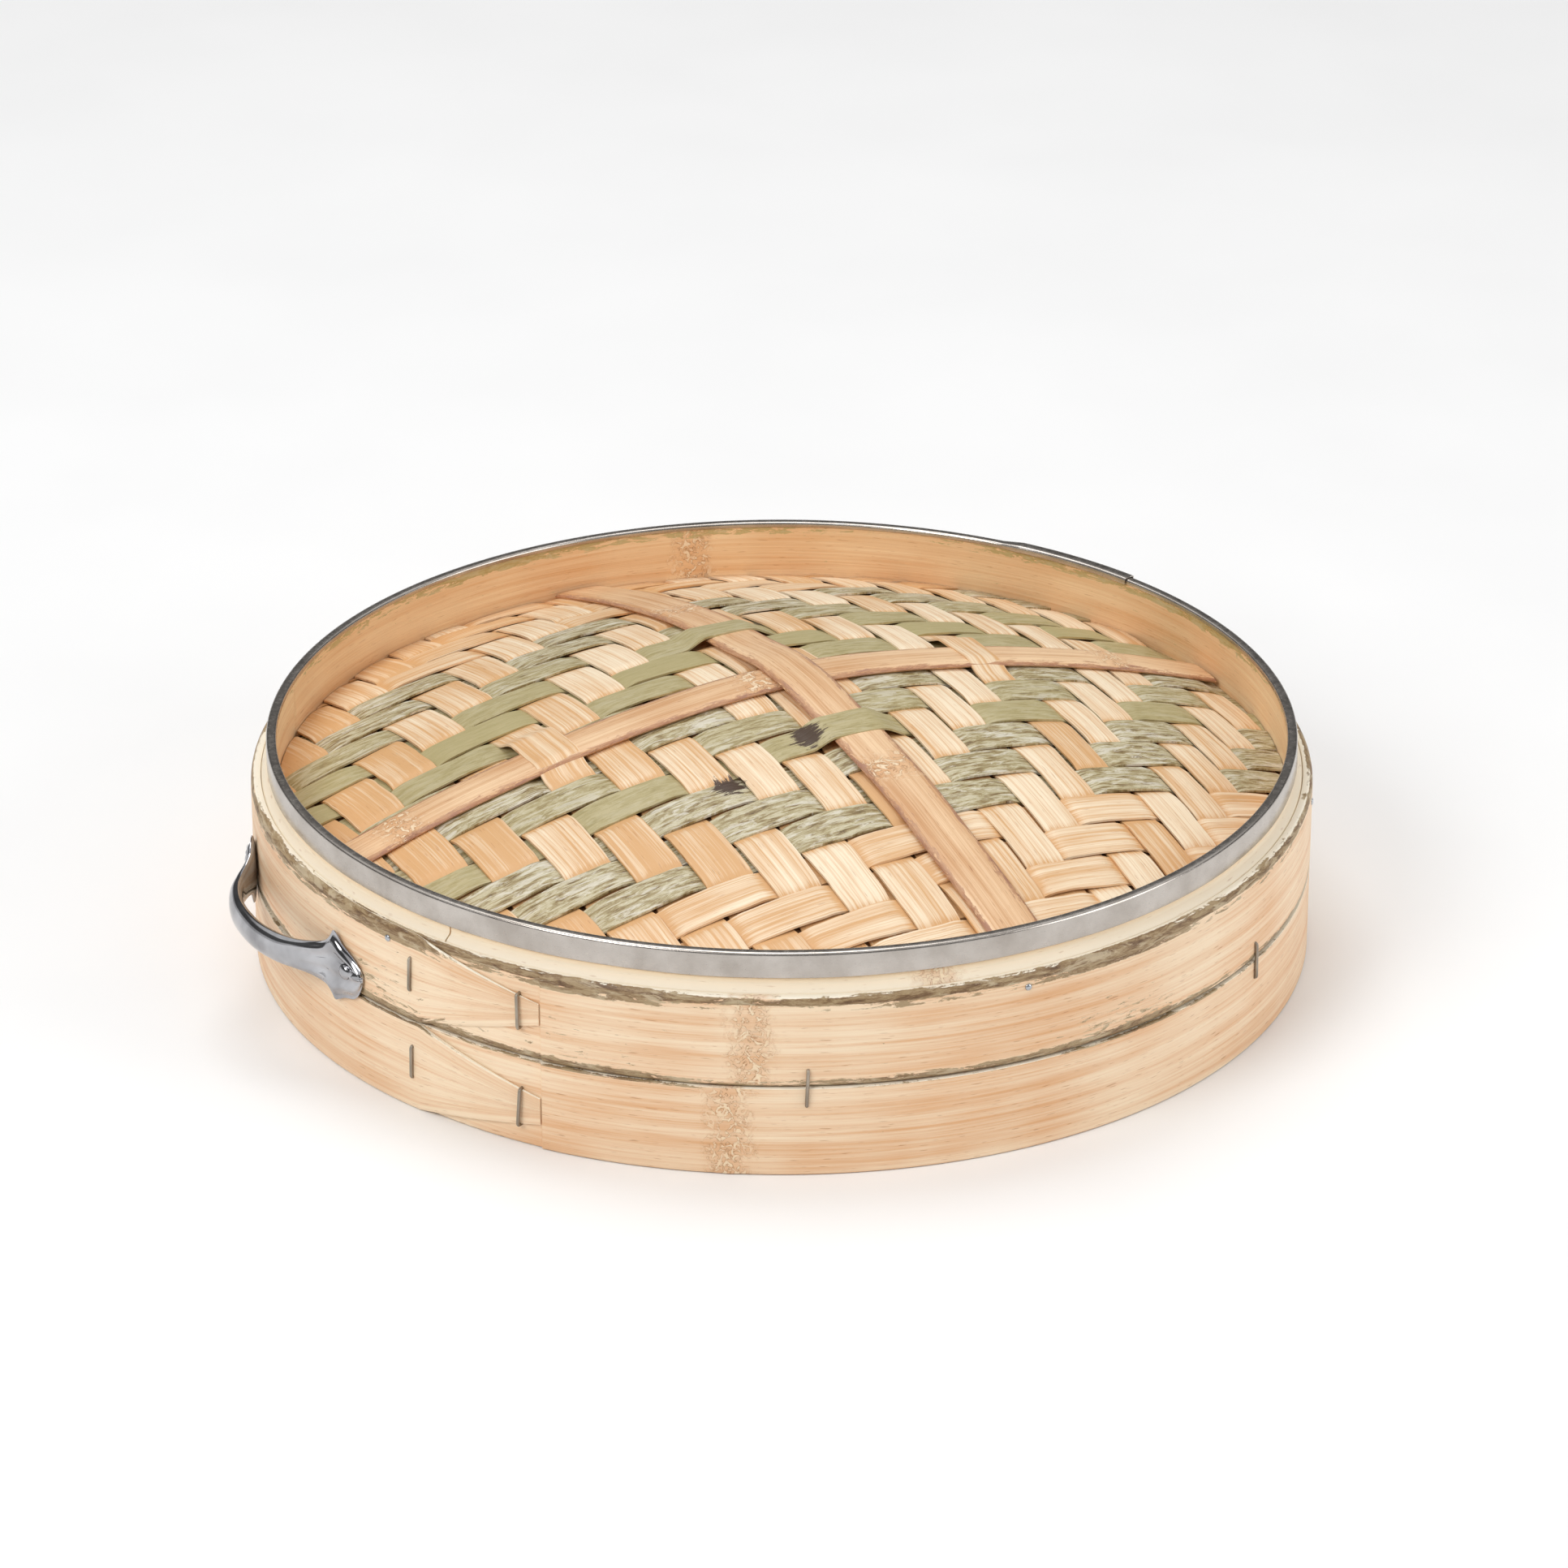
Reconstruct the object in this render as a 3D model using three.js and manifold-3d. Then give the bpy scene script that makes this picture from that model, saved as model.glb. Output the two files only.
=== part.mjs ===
// Lid of a large bamboo steamer: two outer hoops and one inner hoop of bent bamboo, a steel band
// folded over the rim, a domed mat with its lining, two slats over the dome and one bow handle.
// Millimetres and degrees, +Z up. The bottom edge stands on z = 0, the handle is on the -X side,
// and the whole lid, handle included, is centred on the origin.
import * as THREE from 'three';
import { mergeVertices } from 'three/addons/utils/BufferGeometryUtils.js';
import Module from 'manifold-3d';

const wasm = await Module();
wasm.setup();

// ---------------------------------------------------------------- overall sizes
const LID_RADIUS = 260; // outside of the two outer hoops
const RIM_HEIGHT = 110; // top of the steel band above the bottom edge
const FIT_GAP = 0.3; // clearance between pieces that touch
const GRID = 5; // degrees between facets on every hoop
const SAME_ANGLE = 0.05; // degrees under which two angles count as one
const SCARF_CUT = 0.2; // degrees over which the end of a scarf is cut
const DRILL_PAST = 2; // how far a drill starts and ends outside its piece

// ---------------------------------------------------------------- outer hoops
const OUTER_WALL = 4.9;
const LOWER_HOOP_WIDTH = 44.7;
const HOOP_SEAM = 0.6; // gap between the two stacked hoops
const RIM_STAND = 18.8; // rim above the top of the upper hoop
const BARK_BEVEL = { depth: 2, height: 4.8 }; // rounded bark corner on top of the upper hoop
const OUTER_LAP = { start: 186, length: 34.3, tip: 0.2 * OUTER_WALL, last: 0.74 * OUTER_WALL };
const TONGUE_LENGTH = 15.3; // degrees over which the over end narrows to its tongue
const UPPER_TONGUE = { offset: 1.25, width: 11 }; // tongue's middle from the hoop's, and its width
const LOWER_TONGUE = { offset: -3.25, width: 13.8 };
const TONGUE_CHAMFER = 0.5; // on the tongue's top outer corner

// ---------------------------------------------------------------- inner hoop and steel band
const INNER_WALL = 7;
const SOCKET_DEPTH = 20; // how far a basket's rim can enter below the inner hoop
const RIM_WALL = 3.3; // the inner hoop's wall where it is pared above the outer hoops
const PARING_SLOPE = 2.5;
const INNER_LAP = { start: 144, length: 64, tip: 0.36 * RIM_WALL, last: 0.66 * RIM_WALL };
const BAND_THICKNESS = 0.6;
const BAND_DROP = 13.5;
const BAND_LIP = 2.6;
const BAND_LAP = { end: 20.2, length: 15.2, clear: 0.5, ramp: 2.5 }; // degrees

// ---------------------------------------------------------------- dome
const DOME_RISE = 49.5;
const DOME_POWER = 1.75; // 2 is a parabola, 1 a cone
const DOME_EDGE_DEPTH = 30.5; // mat edge below the top of the rim
const MAT_THICKNESS = 2.4;
const MAT_EASE = 0.1; // extra clearance round the mats
const LINING_THICKNESS = 2;
const DOME_SEGMENTS = 48;
const DOME_RINGS = 5;
const RETAINER_WALL = 6.6;
const RETAINER_WIDTH = 47.5;
const RETAINER_LAP = { start: 70, length: 26, tip: 0.18 * RETAINER_WALL, last: 0.64 * RETAINER_WALL };

// ---------------------------------------------------------------- slats over the dome
const SLAT_THICKNESS = 2.6;
const SLAT_STATIONS = 40;
const SLAT_END_GAP = 1.5; // between a slat's corners and the inner hoop
const SLAT_LIFT = { edge: 0.4, crown: 1 }; // slats off the mat at its edge, and more at its crown
const SLAT_POWER = 1.8;
const LONG_SLAT = { width: 27.5, offset: -8.4, turn: 93.4 };
const CROSS_SLAT = { width: 25.5, offset: 4.8, turn: 3.9 };
const CROSSING = { flat: 16, ramp: 36, clear: 1 }; // half lengths and clearance of the long slat's hump

// ---------------------------------------------------------------- fastenings
const WIRE = 1.8; // square wire of the staples
const STAPLE_BEND = 1.2; // cut-off corner of a staple's crown
const LAP_STAPLE_LEG = 4.9;
const BRIDGE_STAPLE_LEG = 17.6;
const LAP_STAPLES = [
  { name: 'lap_staple_upper_1', angle: 204.1, hoop: 'upper', offset: 2, height: 18.6 },
  { name: 'lap_staple_upper_2', angle: 218, hoop: 'upper', offset: 1.25, height: 19 },
  { name: 'lap_staple_lower_1', angle: 204.1, hoop: 'lower', offset: 1.85, height: 18 },
  { name: 'lap_staple_lower_2', angle: 218, hoop: 'lower', offset: -2.95, height: 20.4 },
]; // `offset` is the staple's middle above its hoop's
const BRIDGE_STAPLE = { height: 20.2, count: 5, first: 248.4, step: 57.4 };
const NAIL = { head: 1.6, headHeight: 0.8, flat: 0.75, shank: 0.8, point: 2, sides: 6 };
const NAIL_ANGLES = [24.6, 87.9, 144.3, 200.8, 271.6, 327.8]; // driven by eye, so not evenly spaced
const NAIL_DROP = 7.2; // nails below the top of the upper hoop
const NAIL_SHOW = 0.5; // nail points showing on the inside

// ---------------------------------------------------------------- handle
const HANDLE_STAND = 23; // outside of the grip from the wall
const HANDLE_ABOVE_SEAM = 11; // middle of the handle above the seam between the hoops
const SCREW_SPACING = 128; // between the two handle screws
const FOOT = { height: 35.5, thickness: 2.6, outside: 11.4, flat: 5, crease: 9.6 };
const GRIP = { height: 14.5, thickness: 6.5 };
const HANDLE_SIDES = 10;
// The foot from its tip to the screw: distance outside the screw and height, both as shares.
const FOOT_SHAPE = [
  { outside: 1, height: 0.28 },
  { outside: 0.55, height: 0.72 },
  { outside: 0, height: 0.84 },
  { outside: -FOOT.flat / FOOT.outside, height: 0.97 },
];
// Where the foot's plate folds outwards.
const FOLD = { lift: 1.2, thickness: 5 };
// From the fold to the middle of the grip: angle as a share of the fold's, how far the bow has come
// out from plate to grip, how much of the foot's extra height is left, and the thickness.
const BOW_SHAPE = [
  { angle: 0.86, out: 0.27, flare: 0.45, thickness: 6.5 },
  { angle: 0.69, out: 0.5, flare: 0.17, thickness: 7 },
  { angle: 0.5, out: 0.76, flare: 0.05, thickness: 7 },
  { angle: 0.25, out: 0.95, flare: 0, thickness: GRIP.thickness },
  { angle: 0, out: 1, flare: 0, thickness: GRIP.thickness },
];
const SCREW = { shank: 2, head: 4, headHeight: 2.4, flat: 0.7, shoulder: 0.75, sides: 8 };
const WASHER = { radius: 4.5, thickness: 1, sides: 12 };
const NUT = { acrossFlats: 7, height: 3.2 };
const SCREW_PROUD = 1.2; // screw tip past the nut

// ---------------------------------------------------------------- sizes that follow
const outerHoopInside = LID_RADIUS - OUTER_WALL;
const upperHoopBottom = LOWER_HOOP_WIDTH + HOOP_SEAM;
const upperHoopTop = RIM_HEIGHT - RIM_STAND;
const hoopMiddle = { upper: (upperHoopBottom + upperHoopTop) / 2, lower: LOWER_HOOP_WIDTH / 2 };
const innerHoopOutside = outerHoopInside - FIT_GAP;
const innerHoopInside = innerHoopOutside - INNER_WALL;
const innerHoopTop = RIM_HEIGHT - BAND_THICKNESS - FIT_GAP;
const rimOutside = innerHoopInside + RIM_WALL;
const bandOutside = rimOutside + FIT_GAP + BAND_THICKNESS;
const bandInside = innerHoopInside - FIT_GAP - BAND_THICKNESS;
const matRadius = innerHoopInside - FIT_GAP - MAT_EASE;
const matEdge = RIM_HEIGHT - DOME_EDGE_DEPTH;
const retainerOutside = innerHoopInside - FIT_GAP;
const retainerInside = retainerOutside - RETAINER_WALL;
const retainerTop = matEdge - MAT_THICKNESS - LINING_THICKNESS - 2 * FIT_GAP;
const retainerBottom = retainerTop - RETAINER_WIDTH;
const retainerFacet = retainerInside * Math.cos(THREE.MathUtils.degToRad(GRID / 2));
const seamHeight = LOWER_HOOP_WIDTH + HOOP_SEAM / 2;
const nailHeight = upperHoopTop - NAIL_DROP;
const footFace = LID_RADIUS + FIT_GAP;
const handleReach = LID_RADIUS + HANDLE_STAND;
const handleHeight = seamHeight + HANDLE_ABOVE_SEAM;
const screwAngle = THREE.MathUtils.radToDeg(Math.asin(SCREW_SPACING / 2 / footFace));
const screwAngles = [180 - screwAngle, 180 + screwAngle];

// ---------------------------------------------------------------- materials
const finishes = {
  bamboo: { color: 0xe0bb86, roughness: 0.6, metalness: 0 },
  paleBamboo: { color: 0xe8cb9c, roughness: 0.6, metalness: 0 },
  wovenBamboo: { color: 0xd9bb88, roughness: 0.65, metalness: 0 },
  lining: { color: 0xc9a878, roughness: 0.7, metalness: 0 },
  slatBamboo: { color: 0xd2a070, roughness: 0.55, metalness: 0 },
  stainless: { color: 0xb9bcc0, roughness: 0.28, metalness: 1 },
  wire: { color: 0x8b8880, roughness: 0.45, metalness: 1 },
  chrome: { color: 0xdfe1e4, roughness: 0.08, metalness: 1 },
  zinc: { color: 0xb4b6b8, roughness: 0.35, metalness: 1 },
};

// ---------------------------------------------------------------- geometry helpers
const radians = THREE.MathUtils.degToRad;
const mix = THREE.MathUtils.lerp;

function polar(radius, angle, z) {
  const a = radians(angle);
  return new THREE.Vector3(radius * Math.cos(a), radius * Math.sin(a), z);
}

function signedVolume(points, faces) {
  const cross = new THREE.Vector3();
  const sixfold = faces.map(([a, b, c]) => points[a].dot(cross.crossVectors(points[b], points[c])));
  return sixfold.reduce((sum, volume) => sum + volume, 0) / 6;
}

// Joins outlines with the same number of points, one after the other, and caps both ends.
function skin(outlines) {
  const count = outlines[0].length;
  const points = outlines.flat();
  const faces = [];
  for (let s = 0; s < outlines.length - 1; s++) {
    for (let i = 0; i < count; i++) {
      const a = s * count + i;
      const b = s * count + ((i + 1) % count);
      faces.push([a, b, b + count], [a, b + count, a + count]);
    }
  }
  const first = capFaces(outlines[0]);
  const lastOffset = (outlines.length - 1) * count;
  const last = capFaces(outlines[outlines.length - 1]);
  faces.push(...first.map(([a, b, c]) => [a, c, b]));
  faces.push(...last.map(([a, b, c]) => [a + lastOffset, b + lastOffset, c + lastOffset]));
  const turned = signedVolume(points, faces) < 0 ? faces.map(([a, b, c]) => [a, c, b]) : faces;
  const geometry = new THREE.BufferGeometry().setFromPoints(points);
  geometry.setIndex(turned.flat());
  return geometry;
}

// Triangles of a flat outline in space, wound the way the outline runs.
function capFaces(outline) {
  const normal = new THREE.Vector3();
  outline.forEach((p, i) => {
    const q = outline[(i + 1) % outline.length];
    normal.add(new THREE.Vector3().crossVectors(p, q));
  });
  const u = outline[1].clone().sub(outline[0]).normalize();
  const v = new THREE.Vector3().crossVectors(normal.normalize(), u);
  const flat = outline.map((p) => new THREE.Vector2(p.dot(u), p.dot(v)));
  return THREE.ShapeUtils.triangulateShape(flat, []);
}

function toManifold(geometry) {
  const bare = geometry.clone();
  ['normal', 'uv'].forEach((name) => bare.deleteAttribute(name));
  const merged = mergeVertices(bare, 1e-4);
  const triVerts = new Uint32Array(merged.index.array);
  const vertProperties = new Float32Array(merged.attributes.position.array);
  return new wasm.Manifold(new wasm.Mesh({ numProp: 3, vertProperties, triVerts }));
}

function fromManifold(solid) {
  const mesh = solid.getMesh();
  const geometry = new THREE.BufferGeometry();
  const places = new THREE.BufferAttribute(new Float32Array(mesh.vertProperties), 3);
  geometry.setAttribute('position', places);
  geometry.setIndex(new THREE.BufferAttribute(new Uint32Array(mesh.triVerts), 1));
  return geometry;
}

function drilled(geometry, tools) {
  const start = toManifold(geometry);
  return fromManifold(tools.reduce((solid, tool) => solid.subtract(toManifold(tool)), start));
}

// A prism whose axis points away from the lid's axis at the given angle and height.
function radialPrism(radius, sides, from, to, angle, z) {
  const geometry = new THREE.CylinderGeometry(radius, radius, to - from, sides);
  geometry.rotateY(Math.PI / sides).rotateZ(-Math.PI / 2).translate((from + to) / 2, 0, 0);
  return geometry.rotateZ(radians(angle)).translate(0, 0, z);
}

function named(name, geometry, finish) {
  const mesh = new THREE.Mesh(geometry, new THREE.MeshStandardMaterial(finishes[finish]));
  mesh.name = name;
  return mesh;
}

// ---------------------------------------------------------------- lapped hoops
// Angles from a strip's under tip to its over tip, one full turn and a lap later. The lap's two
// layers and all hoops share one grid, so that facets lie parallel to each other.
function stripAngles(start, length, extra) {
  const turn = start + 360;
  const underEnds = [start, start + length, start + length + SCARF_CUT];
  const overEnds = [turn - 3 * SCARF_CUT, turn - SCARF_CUT, turn, turn + length];
  return gridAngles(start, turn + length, [...underEnds, ...overEnds, ...extra]);
}

// The grid's angles from start to end together with some marks, in order and without doubles.
function gridAngles(start, end, marks) {
  const angles = [...marks];
  for (let a = Math.ceil(start / GRID) * GRID; a < end; a += GRID) {
    angles.push(a);
  }
  angles.sort((a, b) => a - b);
  return angles.filter((a, i) => i === 0 || a - angles[i - 1] > SAME_ANGLE);
}

// How a strip is scarfed at an angle: `under` is the thickness left on the pared outer face of its
// first end, `over` the thickness cut from the inner face of its last end. Null where it is whole.
function scarf(angle, lap) {
  const along = angle - lap.start;
  if (along <= lap.length + SAME_ANGLE) {
    return { under: mix(lap.tip, lap.last, along / lap.length), over: null };
  }
  if (along < 360 - 2 * SCARF_CUT) {
    return { under: null, over: null };
  }
  const share = Math.max(0, (along - 360) / lap.length);
  return { under: null, over: mix(lap.tip, lap.last, share) + FIT_GAP };
}

// One of the two outer hoops, whose over end narrows to a tongue.
function outerHoop({ bottom, top, bevel, tongue }) {
  const end = OUTER_LAP.start + 360 + OUTER_LAP.length;
  const taperStart = end - TONGUE_LENGTH;
  const outlines = stripAngles(OUTER_LAP.start, OUTER_LAP.length, [taperStart]).map((angle) => {
    const cut = scarf(angle, OUTER_LAP);
    const inside = outerHoopInside + (cut.over ?? 0);
    const outside = cut.under ? outerHoopInside + cut.under : LID_RADIUS;
    const taper = Math.max(0, (angle - taperStart) / TONGUE_LENGTH);
    const tongueMiddle = (bottom + top) / 2 + tongue.offset;
    const low = mix(bottom, tongueMiddle - tongue.width / 2, taper);
    const high = mix(top, tongueMiddle + tongue.width / 2, taper);
    const bevelDepth = bevel.depth * (1 - taper);
    const shoulder = Math.min(outside, LID_RADIUS - bevelDepth);
    return [
      polar(inside, angle, low),
      polar(outside, angle, low),
      polar(outside, angle, high - mix(bevel.height, TONGUE_CHAMFER, taper)),
      polar(shoulder, angle, high),
      polar(inside, angle, high),
    ];
  });
  return skin(outlines);
}

function innerHoop() {
  const outlines = stripAngles(INNER_LAP.start, INNER_LAP.length, []).map((angle) => {
    const cut = scarf(angle, INNER_LAP);
    const inside = innerHoopInside + (cut.over ?? 0);
    const outside = cut.under ? innerHoopInside + cut.under : innerHoopOutside;
    const rim = Math.min(outside, rimOutside);
    return [
      polar(inside, angle, SOCKET_DEPTH),
      polar(outside, angle, SOCKET_DEPTH),
      polar(outside, angle, upperHoopTop),
      polar(rim, angle, upperHoopTop + PARING_SLOPE),
      polar(rim, angle, innerHoopTop),
      polar(inside, angle, innerHoopTop),
    ];
  });
  return skin(outlines);
}

// The hoop sprung in under the dome's edge, which keeps the mat and its lining in place.
function domeRetainer() {
  const outlines = stripAngles(RETAINER_LAP.start, RETAINER_LAP.length, []).map((angle) => {
    const cut = scarf(angle, RETAINER_LAP);
    const inside = retainerInside + (cut.over ?? 0);
    const outside = cut.under ? retainerInside + cut.under : retainerOutside;
    return [
      polar(inside, angle, retainerBottom),
      polar(outside, angle, retainerBottom),
      polar(outside, angle, retainerTop),
      polar(inside, angle, retainerTop),
    ];
  });
  return skin(outlines);
}

// Sheet steel folded over the rim: an outer leg, a flat top and a short inner lip. Its last
// stretch lies over its first, spread outwards by one thickness and a gap.
function steelBand() {
  const step = BAND_THICKNESS + FIT_GAP;
  const { end, length, clear, ramp } = BAND_LAP;
  const rampStart = end + length + clear;
  const last = end + 360 + length;
  const outlines = gridAngles(end, last, [end, rampStart, rampStart + ramp, last]).map((angle) => {
    const spread = step * (1 - THREE.MathUtils.clamp((angle - rampStart) / ramp, 0, 1));
    return bandOutline(angle, spread);
  });
  return skin(outlines);
}

function bandOutline(angle, spread) {
  const outside = bandOutside + spread;
  const inside = bandInside - spread;
  const top = RIM_HEIGHT + spread;
  const foot = RIM_HEIGHT - BAND_DROP;
  const lip = RIM_HEIGHT - BAND_LIP;
  const t = BAND_THICKNESS;
  return [
    polar(outside, angle, foot),
    polar(outside, angle, top),
    polar(inside, angle, top),
    polar(inside, angle, lip),
    polar(inside + t, angle, lip),
    polar(inside + t, angle, top - t),
    polar(outside - t, angle, top - t),
    polar(outside - t, angle, foot),
  ];
}

// ---------------------------------------------------------------- dome
// Height of the mat's upper face at a distance from the lid's axis.
function domeHeight(radius) {
  return matEdge + DOME_RISE * (1 - (radius / matRadius) ** DOME_POWER);
}

// Height of a slat's lower face at a distance along it. It is stiffer than the mat, and so flatter.
function slatHeight(along) {
  const rise = DOME_RISE + SLAT_LIFT.crown;
  return matEdge + SLAT_LIFT.edge + rise * (1 - (Math.abs(along) / matRadius) ** SLAT_POWER);
}

function domeShell(drop, thickness) {
  const lower = [];
  const upper = [];
  for (let i = 0; i <= DOME_RINGS; i++) {
    const r = matRadius * (i / DOME_RINGS);
    lower.push(new THREE.Vector2(r, domeHeight(r) - drop - thickness));
    upper.unshift(new THREE.Vector2(r, domeHeight(r) - drop));
  }
  return new THREE.LatheGeometry([...lower, ...upper], DOME_SEGMENTS).rotateX(Math.PI / 2);
}

// A slat bent over the dome. `turn` is its direction and `offset` its distance from the lid's
// axis, to the side; `hump` lifts it where it crosses another slat.
function slat({ width, offset, turn }, hump) {
  const edge = Math.abs(offset) + width / 2;
  const half = Math.sqrt((matRadius - SLAT_END_GAP) ** 2 - edge ** 2);
  const outlines = [];
  for (let i = 0; i <= SLAT_STATIONS; i++) {
    const along = mix(-half, half, i / SLAT_STATIONS);
    const base = slatHeight(along) + hump(along);
    const right = offset - width / 2;
    const left = offset + width / 2;
    const corners = [[right, 0], [left, 0], [left, SLAT_THICKNESS], [right, SLAT_THICKNESS]];
    outlines.push(corners.map(([side, up]) => new THREE.Vector3(along, side, base + up)));
  }
  return skin(outlines).rotateZ(radians(turn));
}

// Lift of the long slat at a distance along it: flat over the cross slat, easing off either side.
function crossingHump(along) {
  const away = Math.abs(along - CROSS_SLAT.offset) - CROSSING.flat;
  return (SLAT_THICKNESS + CROSSING.clear) * (1 - THREE.MathUtils.smoothstep(away, 0, CROSSING.ramp));
}

// ---------------------------------------------------------------- fastenings
// A wire staple driven in from outside, its crown upright on the wall.
function staple({ angle, bottom, top, leg }) {
  const face = LID_RADIUS + FIT_GAP;
  const tip = face - leg;
  const crown = face + WIRE;
  const outline = [
    [tip, bottom], [crown - STAPLE_BEND, bottom], [crown, bottom + STAPLE_BEND],
    [crown, top - STAPLE_BEND], [crown - STAPLE_BEND, top], [tip, top],
    [tip, top - WIRE], [face, top - WIRE], [face, bottom + WIRE], [tip, bottom + WIRE],
  ];
  const shape = new THREE.Shape(outline.map(([r, z]) => new THREE.Vector2(r, z)));
  const geometry = new THREE.ExtrudeGeometry(shape, { depth: WIRE, bevelEnabled: false });
  return geometry.translate(0, 0, -WIRE / 2).rotateX(Math.PI / 2).rotateZ(radians(angle));
}

// The two square holes that a staple's legs fill, deeper than the legs by the fit gap.
function stapleHoles({ angle, bottom, top, leg }) {
  const radius = (WIRE / 2 + FIT_GAP) * Math.SQRT2;
  const from = LID_RADIUS - leg;
  const to = LID_RADIUS + DRILL_PAST;
  return [bottom + WIRE / 2, top - WIRE / 2].map((z) => radialPrism(radius, 4, from, to, angle, z));
}

function lapStaples() {
  return LAP_STAPLES.map(({ name, angle, hoop, offset, height }) => {
    const middle = hoopMiddle[hoop] + offset;
    return { name, angle, bottom: middle - height / 2, top: middle + height / 2, leg: LAP_STAPLE_LEG };
  });
}

function bridgeStaples() {
  return Array.from({ length: BRIDGE_STAPLE.count }, (_, i) => ({
    name: `bridge_staple_${i + 1}`,
    angle: BRIDGE_STAPLE.first + i * BRIDGE_STAPLE.step,
    bottom: seamHeight - BRIDGE_STAPLE.height / 2,
    top: seamHeight + BRIDGE_STAPLE.height / 2,
    leg: BRIDGE_STAPLE_LEG,
  }));
}

// A round nail pointing at the lid's axis: pointed tip, shank and low domed head.
function nail(angle) {
  const tip = innerHoopInside - NAIL_SHOW;
  const face = LID_RADIUS + FIT_GAP;
  const profile = [
    [0, tip], [NAIL.shank, tip + NAIL.point], [NAIL.shank, face], [NAIL.head, face],
    [NAIL.head * NAIL.flat, face + NAIL.headHeight], [0, face + NAIL.headHeight],
  ];
  return turned(profile, NAIL.sides, angle, nailHeight);
}

function nailHole(angle) {
  const from = innerHoopInside - DRILL_PAST;
  const to = LID_RADIUS + DRILL_PAST;
  return radialPrism(NAIL.shank + FIT_GAP, NAIL.sides, from, to, angle, nailHeight);
}

// A turned piece whose profile gives its radius and its distance from the lid's axis.
function turned(profile, sides, angle, z) {
  const lathe = new THREE.LatheGeometry(profile.map(([r, x]) => new THREE.Vector2(r, x)), sides);
  return lathe.rotateZ(-Math.PI / 2).rotateZ(radians(angle)).translate(0, 0, z);
}

function screwHole(angle) {
  const radius = (SCREW.shank + FIT_GAP) / Math.cos(Math.PI / SCREW.sides);
  return radialPrism(radius, SCREW.sides, retainerInside - DRILL_PAST, handleReach, angle, handleHeight);
}

// ---------------------------------------------------------------- handle
// Stations along half of the handle, from the outer tip of a foot to the middle of the grip. Each
// gives its angle from the middle, the distance of its own middle from the lid's axis, its height
// and its thickness.
function handleStations() {
  const plate = footFace + FOOT.thickness / 2;
  const grip = handleReach - GRIP.thickness / 2;
  const perMillimetre = THREE.MathUtils.radToDeg(1 / footFace);
  const fold = screwAngle - FOOT.crease * perMillimetre;
  const foot = FOOT_SHAPE.map(({ outside, height }) => ({
    angle: screwAngle + outside * FOOT.outside * perMillimetre,
    radius: plate,
    height: height * FOOT.height,
    thickness: FOOT.thickness,
  }));
  const bow = BOW_SHAPE.map(({ angle, out, flare, thickness }) => ({
    angle: angle * fold,
    radius: mix(plate, grip, out),
    height: mix(GRIP.height, FOOT.height, flare),
    thickness,
  }));
  const folded = {
    angle: fold,
    radius: plate + FOLD.lift,
    height: FOOT.height,
    thickness: FOLD.thickness,
  };
  return [...foot, folded, ...bow];
}

function handleOutline({ angle, radius, height, thickness }) {
  return Array.from({ length: HANDLE_SIDES }, (_, i) => {
    const t = ((i + 0.5) / HANDLE_SIDES) * 2 * Math.PI;
    const reach = radius + (thickness / 2) * (Math.cos(t) / Math.cos(Math.PI / HANDLE_SIDES));
    return polar(reach, 180 + angle, handleHeight + (height / 2) * Math.sin(t));
  });
}

function bowHandle() {
  const half = handleStations();
  const mirrored = half.slice(0, -1).reverse().map((s) => ({ ...s, angle: -s.angle }));
  const whole = skin([...half, ...mirrored].map(handleOutline));
  return drilled(whole, screwAngles.map(screwHole));
}

function handleScrew(angle) {
  const under = footFace + FOOT.thickness + FIT_GAP;
  const tip = nutInside() - SCREW_PROUD;
  const profile = [
    [0, tip], [SCREW.shank, tip], [SCREW.shank, under], [SCREW.head, under],
    [SCREW.head * SCREW.flat, under + SCREW.headHeight * SCREW.shoulder],
    [0, under + SCREW.headHeight],
  ];
  return turned(profile, SCREW.sides, angle, handleHeight);
}

function washerInside() {
  return retainerFacet - FIT_GAP - WASHER.thickness;
}

function nutInside() {
  return washerInside() - FIT_GAP - NUT.height;
}

function washer(angle) {
  const inside = washerInside();
  const outside = inside + WASHER.thickness;
  const disc = radialPrism(WASHER.radius, WASHER.sides, inside, outside, angle, handleHeight);
  return drilled(disc, [screwHole(angle)]);
}

function nut(angle) {
  const corner = NUT.acrossFlats / 2 / Math.cos(Math.PI / 6);
  const inside = nutInside();
  const from = inside - DRILL_PAST;
  const body = radialPrism(corner, 6, inside, inside + NUT.height, angle, handleHeight);
  const bore = radialPrism(SCREW.shank + FIT_GAP, SCREW.sides, from, retainerInside, angle, handleHeight);
  return drilled(body, [bore]);
}

// ---------------------------------------------------------------- assembly
const staples = [...lapStaples(), ...bridgeStaples()];
const wallHoles = [
  ...staples.flatMap(stapleHoles),
  ...NAIL_ANGLES.map(nailHole),
  ...screwAngles.map(screwHole),
];

const upperHoop = { bottom: upperHoopBottom, top: upperHoopTop, bevel: BARK_BEVEL, tongue: UPPER_TONGUE };
const squareEdge = { depth: 0, height: BARK_BEVEL.height };
const lowerHoop = { bottom: 0, top: LOWER_HOOP_WIDTH, bevel: squareEdge, tongue: LOWER_TONGUE };

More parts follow.
